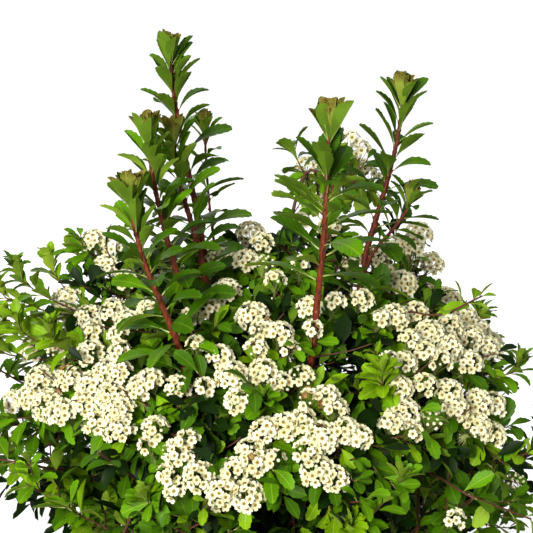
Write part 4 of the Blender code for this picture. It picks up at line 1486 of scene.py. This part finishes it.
def make_leaves(growth):
    veins = make_leaf_group()
    made = []
    for tone, (upper, under, rib) in LEAF_COLOURS.items():
        upper_tip, under_tip = (YOUNG_TIP, YOUNG_TIP) if tone == "bronze" else (upper, under)
        finishes = [
            finish_of("leaf_upper_" + tone, upper, 0.5, veins, [rib, upper_tip], 0.13),
            finish_of("leaf_under_" + tone, under, 0.7, veins, [rib, under_tip], 0.08),
        ]
        made.append(joined_copies("leaves_" + tone, grouped(growth.blades[tone]), finishes))
    pale = finish_of("rib_pale", (158, 168, 88), 0.5)
    made.append(joined_copies("leaf_ribs", grouped(growth.ribs), [pale]))
    return made


def make_blossom(growth):
    petals, disc, stamens = model_petals(), model_disc(), model_stamens()
    made = []
    for tone, colour in PETAL_COLOURS.items():
        finish = finish_of("petal_" + tone, colour, 0.6, specular=0.2)
        made.append(joined_copies("petals_" + tone, [(petals, growth.petals[tone])], [finish]))
    # The eye's dark brown is partly the flower's own colour and partly painted shade
    centres = [finish_of("centre_ochre", (168, 146, 76), 0.7), finish_of("centre_brown_and_shade", (102, 88, 34), 0.7)]
    made.append(joined_copies("flower_centres", [(disc, growth.flowers)], centres))
    pale = finish_of("stamen", (214, 198, 132), 0.6)
    made.append(joined_copies("stamens", [(stamens, growth.flowers)], [pale]))
    cream = finish_of("bud_cream", (236, 232, 196), 0.55)
    made.append(joined_copies("flower_buds", [(model_bud(), growth.buds)], [cream]))
    return made


def make_small_parts(growth):
    green = finish_of("pedicel", (150, 160, 88), 0.55)
    pedicels = joined_copies("pedicels", [(model_stalk(), growth.pedicels)], [green])
    brown = finish_of("shoot_bud", (150, 120, 70), 0.55)
    buds = joined_copies("shoot_buds", [(model_bud(), growth.shoot_buds)], [brown])
    return pedicels, buds


FLOOR_SIZE = 60
FLOOR_GREY = (0.4, 0.4, 0.4, 1)
FLOOR_GLOW = (0.6, 1.0)
FLOOR_SHADE_REACH = (0.15, 0.6)
WORLD_LIGHT = 0.13
SUN_COLOUR = (1, 0.98, 0.92)

# Place, width and power of each light
LIGHTS = {
    "key": ((-0.55, -1.45, 0.85), 0.6, 38),
    "side_fill": ((1.5, -0.5, 0.7), 1.0, 6),
    "back_fill": ((-0.4, 1.6, 1.0), 1.2, 11),
    "top_fill": ((0, 0, 1.8), 1.0, 6),
}


def make_floor():
    """A wide floor that the camera sees as white paper, a little darker round the plant's foot."""
    floor = modelled(bpy.ops.mesh.primitive_plane_add, size=FLOOR_SIZE)
    floor.name = "floor"
    made = bpy.data.materials.new("paper")
    made.use_nodes = True
    graph = Graph(made.node_tree)
    surface = made.node_tree.nodes["Principled BSDF"]
    surface.inputs["Base Color"].default_value = FLOOR_GREY
    surface.inputs["Roughness"].default_value = 1.0
    surface.inputs["Specular IOR Level"].default_value = 0.0
    surface.inputs["Emission Color"].default_value = (1, 1, 1, 1)
    seen = graph.add("ShaderNodeLightPath").outputs["Is Camera Ray"]
    places = graph.add("ShaderNodeTexCoord").outputs["Object"]
    away = graph.add("ShaderNodeVectorMath", {"operation": "LENGTH"}, i0=places).outputs["Value"]
    added = graph.math("MULTIPLY", graph.steps(away, *FLOOR_SHADE_REACH), FLOOR_GLOW[1] - FLOOR_GLOW[0])
    glow = graph.math("ADD", added, FLOOR_GLOW[0])
    made.node_tree.links.new(graph.math("MULTIPLY", seen, glow), surface.inputs["Emission Strength"])
    floor.data.materials.append(made)


def add_light(name, place, size, power):
    light = bpy.data.lights.new(name, "AREA")
    light.size = size
    light.energy = power
    light.color = SUN_COLOUR
    made = bpy.data.objects.new(name, light)
    made.location = place
    made.rotation_euler = (VIEW_TARGET - Vector(place)).to_track_quat("-Z", "Y").to_euler()
    bpy.context.scene.collection.objects.link(made)


def make_studio():
    make_floor()
    world = bpy.data.worlds.new("studio")
    world.use_nodes = True
    graph = Graph(world.node_tree)
    seen = graph.add("ShaderNodeLightPath").outputs["Is Camera Ray"]
    strength = graph.math("ADD", graph.math("MULTIPLY", seen, 1 - WORLD_LIGHT), WORLD_LIGHT)
    background = world.node_tree.nodes["Background"]
    background.inputs["Color"].default_value = (1, 1, 1, 1)
    world.node_tree.links.new(strength, background.inputs["Strength"])
    bpy.context.scene.world = world
    for name, (place, size, power) in LIGHTS.items():
        add_light(name, place, size, power)
    bpy.context.scene.view_settings.view_transform = "Standard"


def make_camera():
    lens = bpy.data.cameras.new("camera")
    lens.lens = VIEW_LENS
    camera = bpy.data.objects.new("camera", lens)
    camera.location, ahead, _ = view_axes()
    camera.rotation_euler = ahead.to_track_quat("-Z", "Y").to_euler()
    bpy.context.scene.collection.objects.link(camera)
    bpy.context.scene.camera = camera


def stand_for(pieces, slot, *starts):
    """The pieces ride on the plant's one body and stand for all nodes whose names start so."""
    nodes = [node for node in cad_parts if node.startswith(starts)]
    for piece in pieces:
        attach(piece, "root")
        if nodes:
            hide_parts(*nodes)


def grow():
    growth = Growth()
    plan_heads(growth)
    limbs, ends = grow_limbs(growth)
    grow_shoots(growth, limbs, ends)
    grow_sprays(growth, limbs, ends)
    grow_skirts(growth, ends)
    return growth


def main():
    growth = grow()
    base, canes, shoots, twigs, stalks = make_wood(growth)
    leaves = make_leaves(growth)
    blossom = make_blossom(growth)
    pedicels, shoot_buds = make_small_parts(growth)
    stand_for([base], "stool", "stool")
    stand_for([canes], "bark", "cane_")
    stand_for([shoots], "red_bark", "shoot_")
    stand_for([twigs], "bark", "cane_")
    stand_for([stalks, pedicels], "blossom", "spray_")
    stand_for([shoot_buds], "red_bark", "shoot_")
    stand_for(leaves[:2], "low_leaves", "leaves_")
    stand_for(leaves[2:], "shoot_leaves", "leaves_")
    stand_for(blossom, "blossom", "spray_")
    make_studio()
    make_camera()


main()
